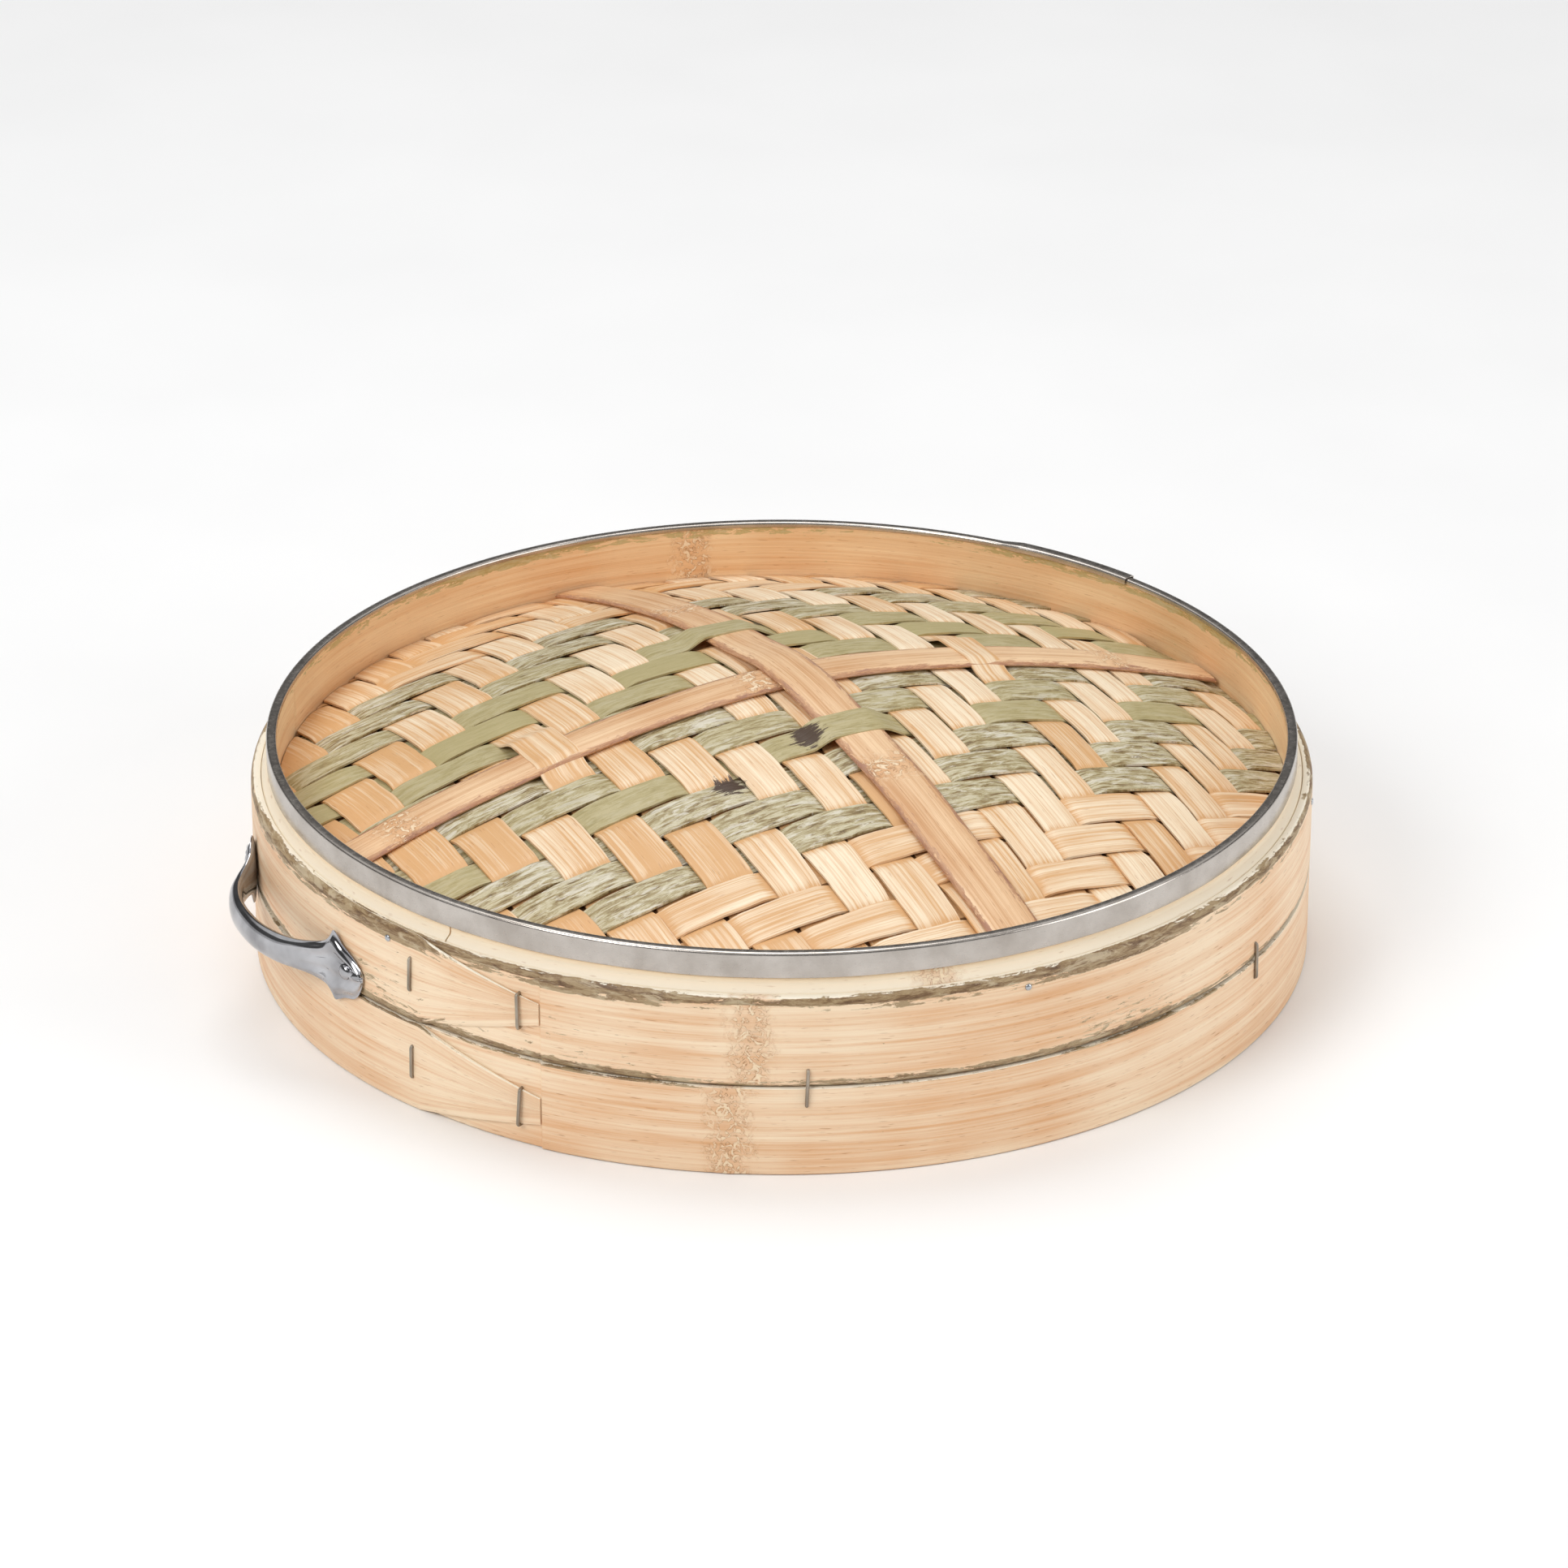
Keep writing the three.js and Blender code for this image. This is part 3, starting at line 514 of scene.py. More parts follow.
def metal(name, colour, dark, roughness, streak, spread=0.06, bump_height=0.03):
    """Metal whose gloss varies along fine marks `streak` apart."""
    if name in bpy.data.materials:
        return bpy.data.materials[name]
    material, tree = new_material(name)
    place = add(tree, "ShaderNodeTexCoord", {}, "Object")
    marks_at = add(tree, MAPPING, {"Vector": place, "Scale": (1 / streak, 1 / streak, 6 / streak)})
    marks = add(tree, NOISE, {"Vector": marks_at, "Scale": 1.0, "Detail": 4.0, "Roughness": 0.6})
    # tarnish lies in patches about 20 mm wide
    tarnish = add(tree, NOISE, {"Vector": place, "Scale": 45.0, "Detail": 3.0, "Roughness": 0.6})
    share = add(tree, SPAN, {"Value": tarnish, "span": (0.35, 0.7)})
    tint = add(tree, MIX, {"data_type": "RGBA", 0: share, 6: colour, 7: dark}, 2)
    gloss = add(tree, SPAN, {
        "Value": marks, "span": (0.3, 0.7, max(roughness - spread, 0.02), roughness + spread)})
    bump = add(tree, "ShaderNodeBump", {
        "Height": marks, "Strength": 0.25, "Distance": bump_height * MM})
    shader = add(tree, "ShaderNodeBsdfPrincipled", {
        "Base Color": tint, "Metallic": 1.0, "Roughness": gloss, "Normal": bump})
    close_material(tree, shader)
    return material


def stainless_sheet():
    # Cold-rolled stainless sheet: soft grey reflections with faint rolling marks round the rim.
    return metal("Cold-rolled stainless steel", "C6BFB8", "AFA79F", 0.24, 3 * MM, 0.06, 0.01)


def chrome_plate():
    # Die-cast zinc alloy, chromium plated and polished: mirror bright with slight casting ripples.
    return metal("Polished chrome plate", "BDBDC0", "8E8D90", 0.08, 9 * MM, 0.03, 0.06)


def iron_wire():
    # Drawn iron wire, lightly oxidised: dull grey brown.
    return metal("Drawn iron wire", "B5AB9D", "8B8073", 0.42, 2 * MM, 0.1)


def zinc_plate():
    # Zinc-plated steel: pale grey with a dull, slightly blue gloss.
    return metal("Zinc-plated steel", "C9CCD0", "A9ADB2", 0.28, 2 * MM, 0.08)


def dome_height(radius):
    """Height of the cover at a distance from the axis"""
    sizes = bpy.context.scene.lid_weave
    return MAT_EDGE + sizes.rise * (1 - (min(radius, MAT_RADIUS) / MAT_RADIUS) ** sizes.power)


# ---------------------------------------------------------------- lapped hoops
BODY_STEP, LAP_STEP = np.radians(1.5), np.radians(0.5)  # between outlines, elsewhere and at a lap
AFTER_LAP, BEFORE_LAP = np.radians(4), np.radians(3)  # how far the close outlines go on
SCARF_END, SCARF_START = np.radians(0.2), np.radians(0.5)  # outlines this near a scarf's steps
CUT_START = np.radians(0.3)  # the over end's cut starts this far before the under tip
SAME_ANGLE = 1e-4

# thin and thick end of a scarf, as shares of the wall it is cut from
OUTER_SCARF, INNER_SCARF, RETAINER_SCARF = (0.2, 0.74), (0.36, 0.66), (0.18, 0.64)
INNER_LAP = (math.radians(144), math.radians(64))  # start and length
RETAINER_LAP = (math.radians(70), math.radians(26))

EDGE_WAVER = ((0.35 * MM, 3, 1), (0.2 * MM, 7, 2))  # how a split edge wanders
OUTER_RUB = ((0.18, 5.3, 1), (0.12, 13, 0))  # where the bark is worn more and less
INNER_RUB = ((0.14, 4.1, 0), (0.1, 11, 1))
KNOT_SWELL, KNOT_REACH = 0.45 * MM, 3 * MM  # height and half length of the swelling at a knot
LEAST_SHOULDER = 0.8 * MM  # wood left inside the bark corner
PLAIN_DROP = 1.2 * MM  # the corner of a hoop that has no bark bevel
# the bark at the bottom corner is partly real bark and partly painted shade, widened and browned to
# stand for the shadow above the seam
GROOVE_HEIGHT, SEAM_BARK_AND_SHADE_FOOT = 2.2 * MM, 5 * MM  # the bark at the bottom corner, above the edge
CUT_TONE = -1.1  # freshly cut wood on top of a hoop
OUTER_ROUNDING = [radius * MM for radius in (0.4, 0.5, 0.8, 0.1, 0.1, 1.2, 1.2, 0.5, 0.5)]
# corners 1 to 3 hold the seam bark, which is partly painted shade above the seam
BEVEL_BARK_AND_SEAM_SHADE = {5: 0.42, 6: 0.9, 7: 0.5, 1: 0.9, 2: 0.6, 3: 0.1}  # by corner of the outline
PLAIN_BARK = {6: 0.38, 7: 0.42}

PARING_SLOPE = 2.5 * MM  # height over which the rim is pared to its thin wall
RIM_STAIN = (5 * MM, 8 * MM)  # bark colour inside the rim fades out between these depths
INNER_ROUNDING = [radius * MM for radius in (1, 1, 0.6, 0.6, 0.5, 0.5, 0.2, 0.2)]
INNER_TONE = {2: -0.8, 3: -0.7, 4: 0.9}


def lapped_angles(start, length):
    """Angles from the under tip to the over tip, closer together along the lap."""
    lap_one = np.arange(0, length + AFTER_LAP, LAP_STEP)
    lap_two = np.arange(TURN - BEFORE_LAP, TURN + length, LAP_STEP)
    body = np.arange(lap_one[-1] + BODY_STEP, lap_two[0], BODY_STEP)
    marks = [length, length + SCARF_END, TURN - SCARF_START, TURN, TURN + length]
    every = np.unique(np.round(np.concatenate([lap_one, body, lap_two, marks]), 6))
    return start + every[np.concatenate([[True], np.diff(every) > SAME_ANGLE])]


def knot_gap(angle, knots, radius):
    """Distance along the strip from the nearest bamboo knot."""
    gaps = [abs((angle - np.radians(k) + np.pi) % TURN - np.pi) * radius for k in knots]
    return min(gaps + [NO_KNOT])


def scarfed(along, length, wall, scarf, base):
    """How a lapped strip is thinned: what is left of the under end, and cut from the over end.
    `scarf` holds shares of the thickness `base`."""
    tip, last = scarf[0] * base, scarf[1] * base
    if along <= length + SAME_ANGLE:
        return tip + (last - tip) * along / length, 0.0
    if along < TURN - CUT_START:
        return wall, 0.0
    share = max(0.0, (along - TURN) / length)
    return wall, tip + (last - tip) * share + FIT_GAP


def outer_hoop(name, low, high, tongue_middle, tongue_width, bevel_depth, knots, seed):
    """One outer hoop, its over end narrowed to a tongue and its bark left on if it has a bevel."""
    sizes = bpy.context.scene.lid_hoops
    wall = sizes.outer_wall
    inside_radius = WALL_RADIUS - wall
    total = TURN + sizes.lap_length
    angles = lapped_angles(sizes.lap_start, sizes.lap_length)
    skin = BEVEL_BARK_AND_SEAM_SHADE if bevel_depth else PLAIN_BARK
    outlines, facts = [], []
    for angle in angles:
        along = angle - sizes.lap_start
        left, cut = scarfed(along, sizes.lap_length, wall, OUTER_SCARF, wall)
        taper = max(0.0, (along - (total - sizes.tongue)) / sizes.tongue)
        waver = waves(EDGE_WAVER, angle, seed)
        bottom = low + taper * (tongue_middle - tongue_width / 2 - low)
        top = high + taper * (tongue_middle + tongue_width / 2 - high)
        if seed > 0:
            bottom += abs(waver) * (1 - taper) * 0.5
        gap = knot_gap(angle, knots, WALL_RADIUS)
        swell = KNOT_SWELL * math.exp(-(gap / KNOT_REACH) ** 2)
        inner = inside_radius + cut
        outer = min(inside_radius + left, WALL_RADIUS) + (swell if left == wall else 0)
        bevel = bevel_depth * (1 - taper)
        groove = 0.7 * bevel
        drop = sizes.bevel * (1 - taper) if bevel_depth else PLAIN_DROP
        shoulder = max(min(outer, WALL_RADIUS - bevel), inner + LEAST_SHOULDER)
        bulge = min(outer, shoulder + 0.72 * (outer - shoulder) + 0.2 * bevel)
        corners = [
            (inner, bottom), (outer - groove, bottom),
            (outer, bottom + GROOVE_HEIGHT), (outer, bottom + SEAM_BARK_AND_SHADE_FOOT),
            (outer, top - drop * 1.7), (outer, top - drop * 1.15), (bulge, top - drop * 0.45),
            (shoulder, top - 0.25 * waver), (inner, top - 0.25 * waver)]
        points, source = rounded(corners, OUTER_ROUNDING)
        outlines.append([ring_place(r, angle, z) for r, z in points])
        whole = 1 - 0.7 * min(1.0, 3 * taper)
        rub = waves(OUTER_RUB, angle, seed)
        for corner in source:
            bark = (skin[corner] + rub) * whole if corner in skin else 0.0
            facts.append((bark, 0.1, gap, CUT_TONE if corner in (7, 8) else 0.0))
    verts, faces, grain = sweep(outlines, (angles - angles[0]) * WALL_RADIUS)
    return mesh_piece(name, verts, faces, grain, facts)


class LID_OT_outer_hoops(bpy.types.Operator):
    """Bends the two outer hoops, lapped and scarfed, with bark left on the upper one's corners"""

    bl_idname = "lid.outer_hoops"
    bl_label = "Outer Hoops"

    def execute(self, context):
        material = planed_bamboo()
        upper_middle = (UPPER_HOOP[0] + UPPER_HOOP[1]) / 2 + 1.25 * MM
        lower_middle = (LOWER_HOOP[0] + LOWER_HOOP[1]) / 2 - 3.25 * MM
        upper = outer_hoop("upper_hoop_bamboo", *UPPER_HOOP, upper_middle, 11 * MM,
                           bevel_depth=2 * MM, knots=[242.8, 60], seed=0.7)
        lower = outer_hoop("lower_hoop_bamboo", *LOWER_HOOP, lower_middle, 13.8 * MM,
                           bevel_depth=0, knots=[240.4, 30], seed=0.0)
        place_piece(upper, material, "hoop_bamboo", "upper_outer_hoop")
        place_piece(lower, material, "hoop_bamboo", "lower_outer_hoop")
        return {"FINISHED"}


class LID_OT_inner_hoop(bpy.types.Operator):
    """Bends the inner hoop that stands up as the rim, pared thin under the steel band"""

    bl_idname = "lid.inner_hoop"
    bl_label = "Inner Hoop"

    def execute(self, context):
        sizes = context.scene.lid_hoops
        wall, rim = sizes.inner_wall, sizes.rim_wall
        inside_radius = INNER_HOOP_RADIUS - wall
        start, length = INNER_LAP
        angles = lapped_angles(start, length)
        outlines, facts = [], []
        low, high = INNER_HOOP
        step = UPPER_HOOP[1]
        for angle in angles:
            left, cut = scarfed(angle - start, length, wall, INNER_SCARF, rim)
            inner = inside_radius + cut
            outer = inside_radius + left
            edge = min(outer, inside_radius + rim)
            corners = [(inner, low), (outer, low), (outer, step), (edge, step + PARING_SLOPE),
                       (edge, high), (inner, high), (inner, high - RIM_STAIN[0]),
                       (inner, high - RIM_STAIN[1])]
            points, source = rounded(corners, INNER_ROUNDING, 2)
            gap = knot_gap(angle, [76.6, 262], inside_radius)
            outlines.append([ring_place(r, angle, z) for r, z in points])
            rub = waves(INNER_RUB, angle, 1)
            skin = {6: 0.46 + rub, 5: 0.5 + rub, 4: 0.4, 7: 0.1}
            for corner in source:
                facts.append((skin.get(corner, 0.0), 0.5, gap, INNER_TONE.get(corner, 0.0)))
        verts, faces, grain = sweep(outlines, (angles - angles[0]) * INNER_HOOP_RADIUS)
        piece = mesh_piece("inner_hoop_bamboo", verts, faces, grain, facts)
        place_piece(piece, inner_bamboo(), "inner_bamboo", "inner_hoop")
        return {"FINISHED"}


class LID_OT_retaining_hoop(bpy.types.Operator):
    """Springs in the hoop that holds the edge of the dome from below"""

    bl_idname = "lid.retaining_hoop"
    bl_label = "Retaining Hoop"

    def execute(self, context):
        wall = context.scene.lid_hoops.retainer_wall
        inside_radius = radius_of("dome_retaining_hoop") - wall
        start, length = RETAINER_LAP
        low, high = RETAINER
        angles = lapped_angles(start, length)
        outlines, facts = [], []
        for angle in angles:
            left, cut = scarfed(angle - start, length, wall, RETAINER_SCARF, wall)
            inner, outer = inside_radius + cut, inside_radius + left
            corners = [(inner, low), (outer, low), (outer, high), (inner, high)]
            points, source = rounded(corners, [1.2 * MM] * 4)
            gap = knot_gap(angle, [20, 190], inside_radius)
            outlines.append([ring_place(r, angle, z) for r, z in points])
            facts += [(0.0, 0.0, gap, 0.1)] * len(source)
        verts, faces, grain = sweep(outlines, (angles - angles[0]) * inside_radius)
        piece = mesh_piece("retaining_hoop_bamboo", verts, faces, grain, facts)
        place_piece(piece, planed_bamboo(), "inner_bamboo", "dome_retaining_hoop")
        return {"FINISHED"}


SHEET = 0.6 * MM  # thickness of the steel
BAND_DROP, BAND_LIP = 12.4 * MM, 2.6 * MM  # legs of the fold outside and inside the rim
BAND_LAP = (math.radians(20.2), math.radians(15.2))  # start and length
BAND_STEP, BAND_RAMP = math.radians(1.2), math.radians(2.5)
LAP_EDGE = 0.01  # radians that the raised first stretch goes on past the end beneath it
BAND_WAVE = ((0.12 * MM, 9, 0), (0.08 * MM, 23, 1))  # how the folded edge wanders
BAND_ROUNDING = [radius * MM for radius in (0.15, 1.4, 1.4, 0.2, 0.2, 0.8, 0.8, 0.15)]


class LID_OT_steel_band(bpy.types.Operator):
    """Folds the steel sheet over the rim, its first stretch lapped over its last"""

    bl_idname = "lid.steel_band"
    bl_label = "Steel Band"

    def execute(self, context):
        step = SHEET + FIT_GAP
        rim_top = heights_of("steel_rim_band")[1] - step
        foot, lip = rim_top - BAND_DROP, rim_top - BAND_LIP
        inside_wall = INNER_HOOP_RADIUS - context.scene.lid_hoops.inner_wall
        outer_leg = inside_wall + context.scene.lid_hoops.rim_wall + step
        inner_leg = inside_wall - step
        start, length = BAND_LAP
        lap_end = start + length + LAP_EDGE
        band_end = start + TURN + length
        angles = np.unique(np.round(np.concatenate([
            np.arange(start, band_end, BAND_STEP), [lap_end, lap_end + BAND_RAMP, band_end]]), 6))
        outlines = []
        for angle in angles:
            past = (angle - start - length - LAP_EDGE) / BAND_RAMP
            spread = step * (1 - min(max(past, 0), 1))
            wave = waves(BAND_WAVE, angle, 1)
            out, inn, top = outer_leg + spread, inner_leg - spread, rim_top + spread
            corners = [
                (out + wave, foot), (out, top), (inn, top), (inn, lip), (inn + SHEET, lip),
                (inn + SHEET, top - SHEET), (out - SHEET, top - SHEET), (out - SHEET + wave, foot)]
            points, _ = rounded(corners, BAND_ROUNDING, 4)
            outlines.append([ring_place(r, angle, z) for r, z in points])
        verts, faces, grain = sweep(outlines, (angles - angles[0]) * outer_leg)
        piece = mesh_piece("rim_band_steel", verts, faces, grain)
        place_piece(piece, stainless_sheet(), "stainless_steel", "steel_rim_band")
        return {"FINISHED"}


# ---------------------------------------------------------------- woven dome
STRIP_STATIONS = 261
STRIP_CROWN = -1.1 * MM  # a strip's edges lie a quarter of this below its middle
STRIP_FILL = 0.985  # share of the pitch that a strip fills
SLAT_BRIDGE = {"Slat Half Width": 12 * MM, "Slat Height": 4.4 * MM}
NARROWEST = 0.01 * MM  # stands for an even pitch, where none at all would divide by zero
LINING_PITCH = 31 * MM
SALT_STEP = 1.73  # sets each strip on its own piece of every pattern


def weave_tree():
    """Geometry Nodes: strips laid over a dome and woven, one for each point of the host. The host's
    points carry each strip's place across, its rank from the middle, its width and its tone."""
    tree, given = new_tree("Woven Dome Strips", "Strips", "Strips", {
        "Radius": 0.25, "Edge Height": 0.08, "Rise": 0.05, "Roundness": 1.75, "Depth": 0.001,
        "Thickness": 0.001, "Wave": 0.0006, "Stiffness": 3.0, "Cross Pitch": 0.022,
        "Cross Narrowing": 0.00001, "Cross Centre": 0.0, "Repeat": 4.0, "Phase": 1.5,
        "Slat Place": 0.0, "Slat Half Width": 0.013, "Slat Ramp": 0.02, "Slat Height": 0.006,
        "Warp Direction": 1.0, "Turn": 0.0, "Axis": 0.0, "Warping": 0.0004, "Seed": 0.0})

    strip = add(tree, "GeometryNodeMeshCube", {
        "Size": (1, 1, 1), "Vertices X": STRIP_STATIONS, "Vertices Y": 6, "Vertices Z": 2})
    laid = add(tree, "GeometryNodeInstanceOnPoints", {"Points": given["Strips"], "Instance": strip})
    real = add(tree, "GeometryNodeRealizeInstances", {"Geometry": laid})
    at = add(tree, "GeometryNodeInputPosition", {})
    split = add(tree, "ShaderNodeSeparateXYZ", {"Vector": at}, "X").node.outputs
    named = "GeometryNodeInputNamedAttribute"
    facts = {name: add(tree, named, {"data_type": "FLOAT", "Name": name})
             for name in ("place", "rank", "width", "over_slat", "salt")}

    # across and along, the ends cut to the circle
    ragged_at = add(tree, "ShaderNodeCombineXYZ", {
        "X": split["X"], "Y": facts["salt"], "Z": given["Seed"]})
    ragged = add(tree, NOISE, {
        "Vector": ragged_at, "Scale": 9.0, "Detail": 2.0, "Roughness": 0.5}, "Fac")
    girth = add(tree, SPAN, {"Value": ragged, "span": (0.2, 0.8, 0.82, 0.985)})
    width = add(tree, MATH, {"operation": "MULTIPLY", 0: facts["width"], 1: girth})
    across = add(tree, MATH, {
        "operation": "MULTIPLY_ADD", 0: split["Y"], 1: width, 2: facts["place"]})
    limit = add(tree, MATH, {"operation": "MULTIPLY", 0: given["Radius"], 1: 0.9995})
    low_limit = add(tree, MATH, {"operation": "MULTIPLY", 0: limit, 1: -1.0})
    inside = add(tree, "ShaderNodeClamp", {"Value": across, "Min": low_limit, "Max": limit})
    square = add(tree, MATH, {"operation": "MULTIPLY", 0: inside, 1: inside})
    radius_square = add(tree, MATH, {
        "operation": "MULTIPLY", 0: given["Radius"], 1: given["Radius"]})
    chord_square = add(tree, MATH, {"operation": "SUBTRACT", 0: radius_square, 1: square})
    half = add(tree, MATH, {"operation": "SQRT", 0: chord_square})
    twice = add(tree, MATH, {"operation": "MULTIPLY", 0: split["X"], 1: 2.0})
    along = add(tree, MATH, {"operation": "MULTIPLY", 0: twice, 1: half})

    # height of the dome
    along_square = add(tree, MATH, {"operation": "MULTIPLY", 0: along, 1: along})
    reach_square = add(tree, MATH, {"operation": "ADD", 0: square, 1: along_square})
    reach = add(tree, MATH, {"operation": "SQRT", 0: reach_square})
    share = add(tree, MATH, {"operation": "DIVIDE", 0: reach, 1: given["Radius"]})
    fall = add(tree, MATH, {"operation": "POWER", 0: share, 1: given["Roundness"]})
    left = add(tree, MATH, {"operation": "SUBTRACT", 0: 1.0, 1: fall})
    base = add(tree, MATH, {
        "operation": "MULTIPLY_ADD", 0: given["Rise"], 1: left, 2: given["Edge Height"]})

    # which crossing strip this is at: pitch * n - narrowing * n * n = distance from the middle one
    distance = add(tree, MATH, {"operation": "SUBTRACT", 0: along, 1: given["Cross Centre"]})
    pitch_square = add(tree, MATH, {
        "operation": "MULTIPLY", 0: given["Cross Pitch"], 1: given["Cross Pitch"]})
    four = add(tree, MATH, {"operation": "MULTIPLY", 0: given["Cross Narrowing"], 1: 4.0})
    lost = add(tree, MATH, {"operation": "MULTIPLY", 0: four, 1: distance})
    under_root = add(tree, MATH, {"operation": "SUBTRACT", 0: pitch_square, 1: lost})
    root = add(tree, MATH, {"operation": "SQRT", 0: under_root})
    top = add(tree, MATH, {"operation": "SUBTRACT", 0: given["Cross Pitch"], 1: root})
    double = add(tree, MATH, {"operation": "MULTIPLY", 0: given["Cross Narrowing"], 1: 2.0})
    crossing = add(tree, MATH, {"operation": "DIVIDE", 0: top, 1: double})
    steps = add(tree, MATH, {"operation": "ABSOLUTE", 0: crossing})

    # over or under: the twill turns back at both slats, so its floats form diamonds
    phase = add(tree, MATH, {"operation": "ADD", 0: steps, 1: facts["rank"]})
    half_repeat = add(tree, MATH, {"operation": "MULTIPLY", 0: given["Repeat"], 1: 0.5})
    shifted = add(tree, MATH, {"operation": "SUBTRACT", 0: phase, 1: given["Phase"]})
    centred = add(tree, MATH, {"operation": "ADD", 0: shifted, 1: half_repeat})
    wrapped = add(tree, MATH, {"operation": "FLOORED_MODULO", 0: centred, 1: given["Repeat"]})
    off = add(tree, MATH, {"operation": "SUBTRACT", 0: wrapped, 1: half_repeat})
    away = add(tree, MATH, {"operation": "ABSOLUTE", 0: off})
    quarter = add(tree, MATH, {"operation": "MULTIPLY", 0: given["Repeat"], 1: 0.25})
    over = add(tree, MATH, {"operation": "SUBTRACT", 0: quarter, 1: away})
    stiff = add(tree, MATH, {"operation": "MULTIPLY", 0: over, 1: given["Stiffness"]})
    swing = add(tree, SPAN, {
        "interpolation_type": "SMOOTHSTEP", "Value": stiff, "span": (-1.0, 1.0, -1.0, 1.0)})
    bow = add(tree, MATH, {"operation": "MULTIPLY_ADD", 0: over, 1: 0.35, 2: swing})
    level = add(tree, MATH, {"operation": "MULTIPLY", 0: bow, 1: given["Wave"]})

    # strips that pass over a slat
    from_slat = add(tree, MATH, {"operation": "SUBTRACT", 0: along, 1: given["Slat Place"]})
    beside = add(tree, MATH, {"operation": "ABSOLUTE", 0: from_slat})
    ramp_end = add(tree, MATH, {
        "operation": "ADD", 0: given["Slat Half Width"], 1: given["Slat Ramp"]})
    lift = add(tree, SPAN, {
        "interpolation_type": "SMOOTHSTEP", "Value": beside,
        "span": (given["Slat Half Width"], ramp_end, given["Slat Height"], 0.0)})
    raised = add(tree, MATH, {"operation": "MULTIPLY", 0: lift, 1: facts["over_slat"]})

    # a strip is crowned, and no two lie quite flat
    crown = add(tree, MATH, {"operation": "MULTIPLY", 0: split["Y"], 1: split["Y"]})
    tilt_at = add(tree, "ShaderNodeCombineXYZ", {
        "X": along, "Y": facts["salt"], "Z": given["Seed"]})
    tilt_place = add(tree, "ShaderNodeVectorMath", {
        "operation": "MULTIPLY", 0: tilt_at, 1: (28.0, 1.0, 1.0)})
    tilt = add(tree, NOISE, {
        "Vector": tilt_place, "Scale": 1.0, "Detail": 1.0, "Roughness": 0.5}, "Fac")
    leaning = add(tree, SPAN, {"Value": tilt, "span": (0.3, 0.7, -1.0, 1.0)})
    lean_size = add(tree, MATH, {"operation": "MULTIPLY", 0: leaning, 1: given["Warping"]})
    lean = add(tree, MATH, {"operation": "MULTIPLY", 0: lean_size, 1: split["Y"]})
    crowned = add(tree, MATH, {"operation": "MULTIPLY_ADD", 0: crown, 1: STRIP_CROWN, 2: lean})

    sheet = add(tree, MATH, {"operation": "MULTIPLY", 0: split["Z"], 1: given["Thickness"]})
    height = base
    for part in (level, raised, crowned, sheet):
        height = add(tree, MATH, {"operation": "ADD", 0: height, 1: part})
    height = add(tree, MATH, {"operation": "SUBTRACT", 0: height, 1: given["Depth"]})

    as_warp = add(tree, "ShaderNodeCombineXYZ", {"X": inside, "Y": along, "Z": height})
    as_weft = add(tree, "ShaderNodeCombineXYZ", {"X": along, "Y": inside, "Z": height})
    chosen = add(tree, MIX, {
        "data_type": "VECTOR", 0: given["Warp Direction"], 4: as_weft, 5: as_warp}, 1)
    turned = add(tree, "ShaderNodeVectorRotate", {
        "rotation_type": "Z_AXIS", "Vector": chosen, "Angle": given["Turn"]})
    shift = add(tree, "ShaderNodeCombineXYZ", {"X": given["Axis"]})
    final = add(tree, "ShaderNodeVectorMath", {"operation": "ADD", 0: turned, 1: shift})

    # grain runs along the strip, each strip with its own piece of the pattern
    grain_along = add(tree, MATH, {
        "operation": "MULTIPLY_ADD", 0: facts["salt"], 1: 0.37, 2: along})
    grain_side = add(tree, MATH, {"operation": "MULTIPLY", 0: split["Y"], 1: facts["width"]})
    grain_across = add(tree, MATH, {
        "operation": "MULTIPLY_ADD", 0: facts["salt"], 1: 0.11, 2: grain_side})
    grain = add(tree, "ShaderNodeCombineXYZ", {"X": grain_along, "Y": grain_across})
    marked = add(tree, "GeometryNodeStoreNamedAttribute", {
        "data_type": "FLOAT2", "domain": "CORNER", "Geometry": real, "Name": "Grain",
        "Value": grain})
    # painted shade: each strip's tone is darkened where it dips under a crossing strip
    dip_painted_shade = add(tree, SPAN, {"Value": bow, "span": (0.75, -0.5, 0, 0.9)})
    own_tone = add(tree, "GeometryNodeInputNamedAttribute", {"data_type": "FLOAT", "Name": "tone"})
    darker = add(tree, MATH, {"operation": "ADD", 0: own_tone, 1: dip_painted_shade})
    shaded = add(tree, "GeometryNodeStoreNamedAttribute", {
        "data_type": "FLOAT", "domain": "POINT", "Geometry": marked, "Name": "tone",
        "Value": darker})
    formed = add(tree, "GeometryNodeSetPosition", {"Geometry": shaded, "Position": final})
    return close_tree(tree, formed, given["Finish"])


def strip_host(name, places, widths, ranks, over_slat, tone, bark, green):
    """A mesh of points, one for each strip, with the strip's facts."""
    count = len(places)
    mesh = bpy.data.meshes.new(name)
    mesh.from_pydata([(0, 0, 0)] * count, [], [])
    for fact, values in {
            "place": places, "width": widths, "rank": ranks, "over_slat": over_slat, "tone": tone,
            "bark": bark, "green": green, "salt": np.arange(count) * SALT_STEP,
            "knot": np.full(count, NO_KNOT)}.items():
        store(mesh, fact, values)
    return mesh


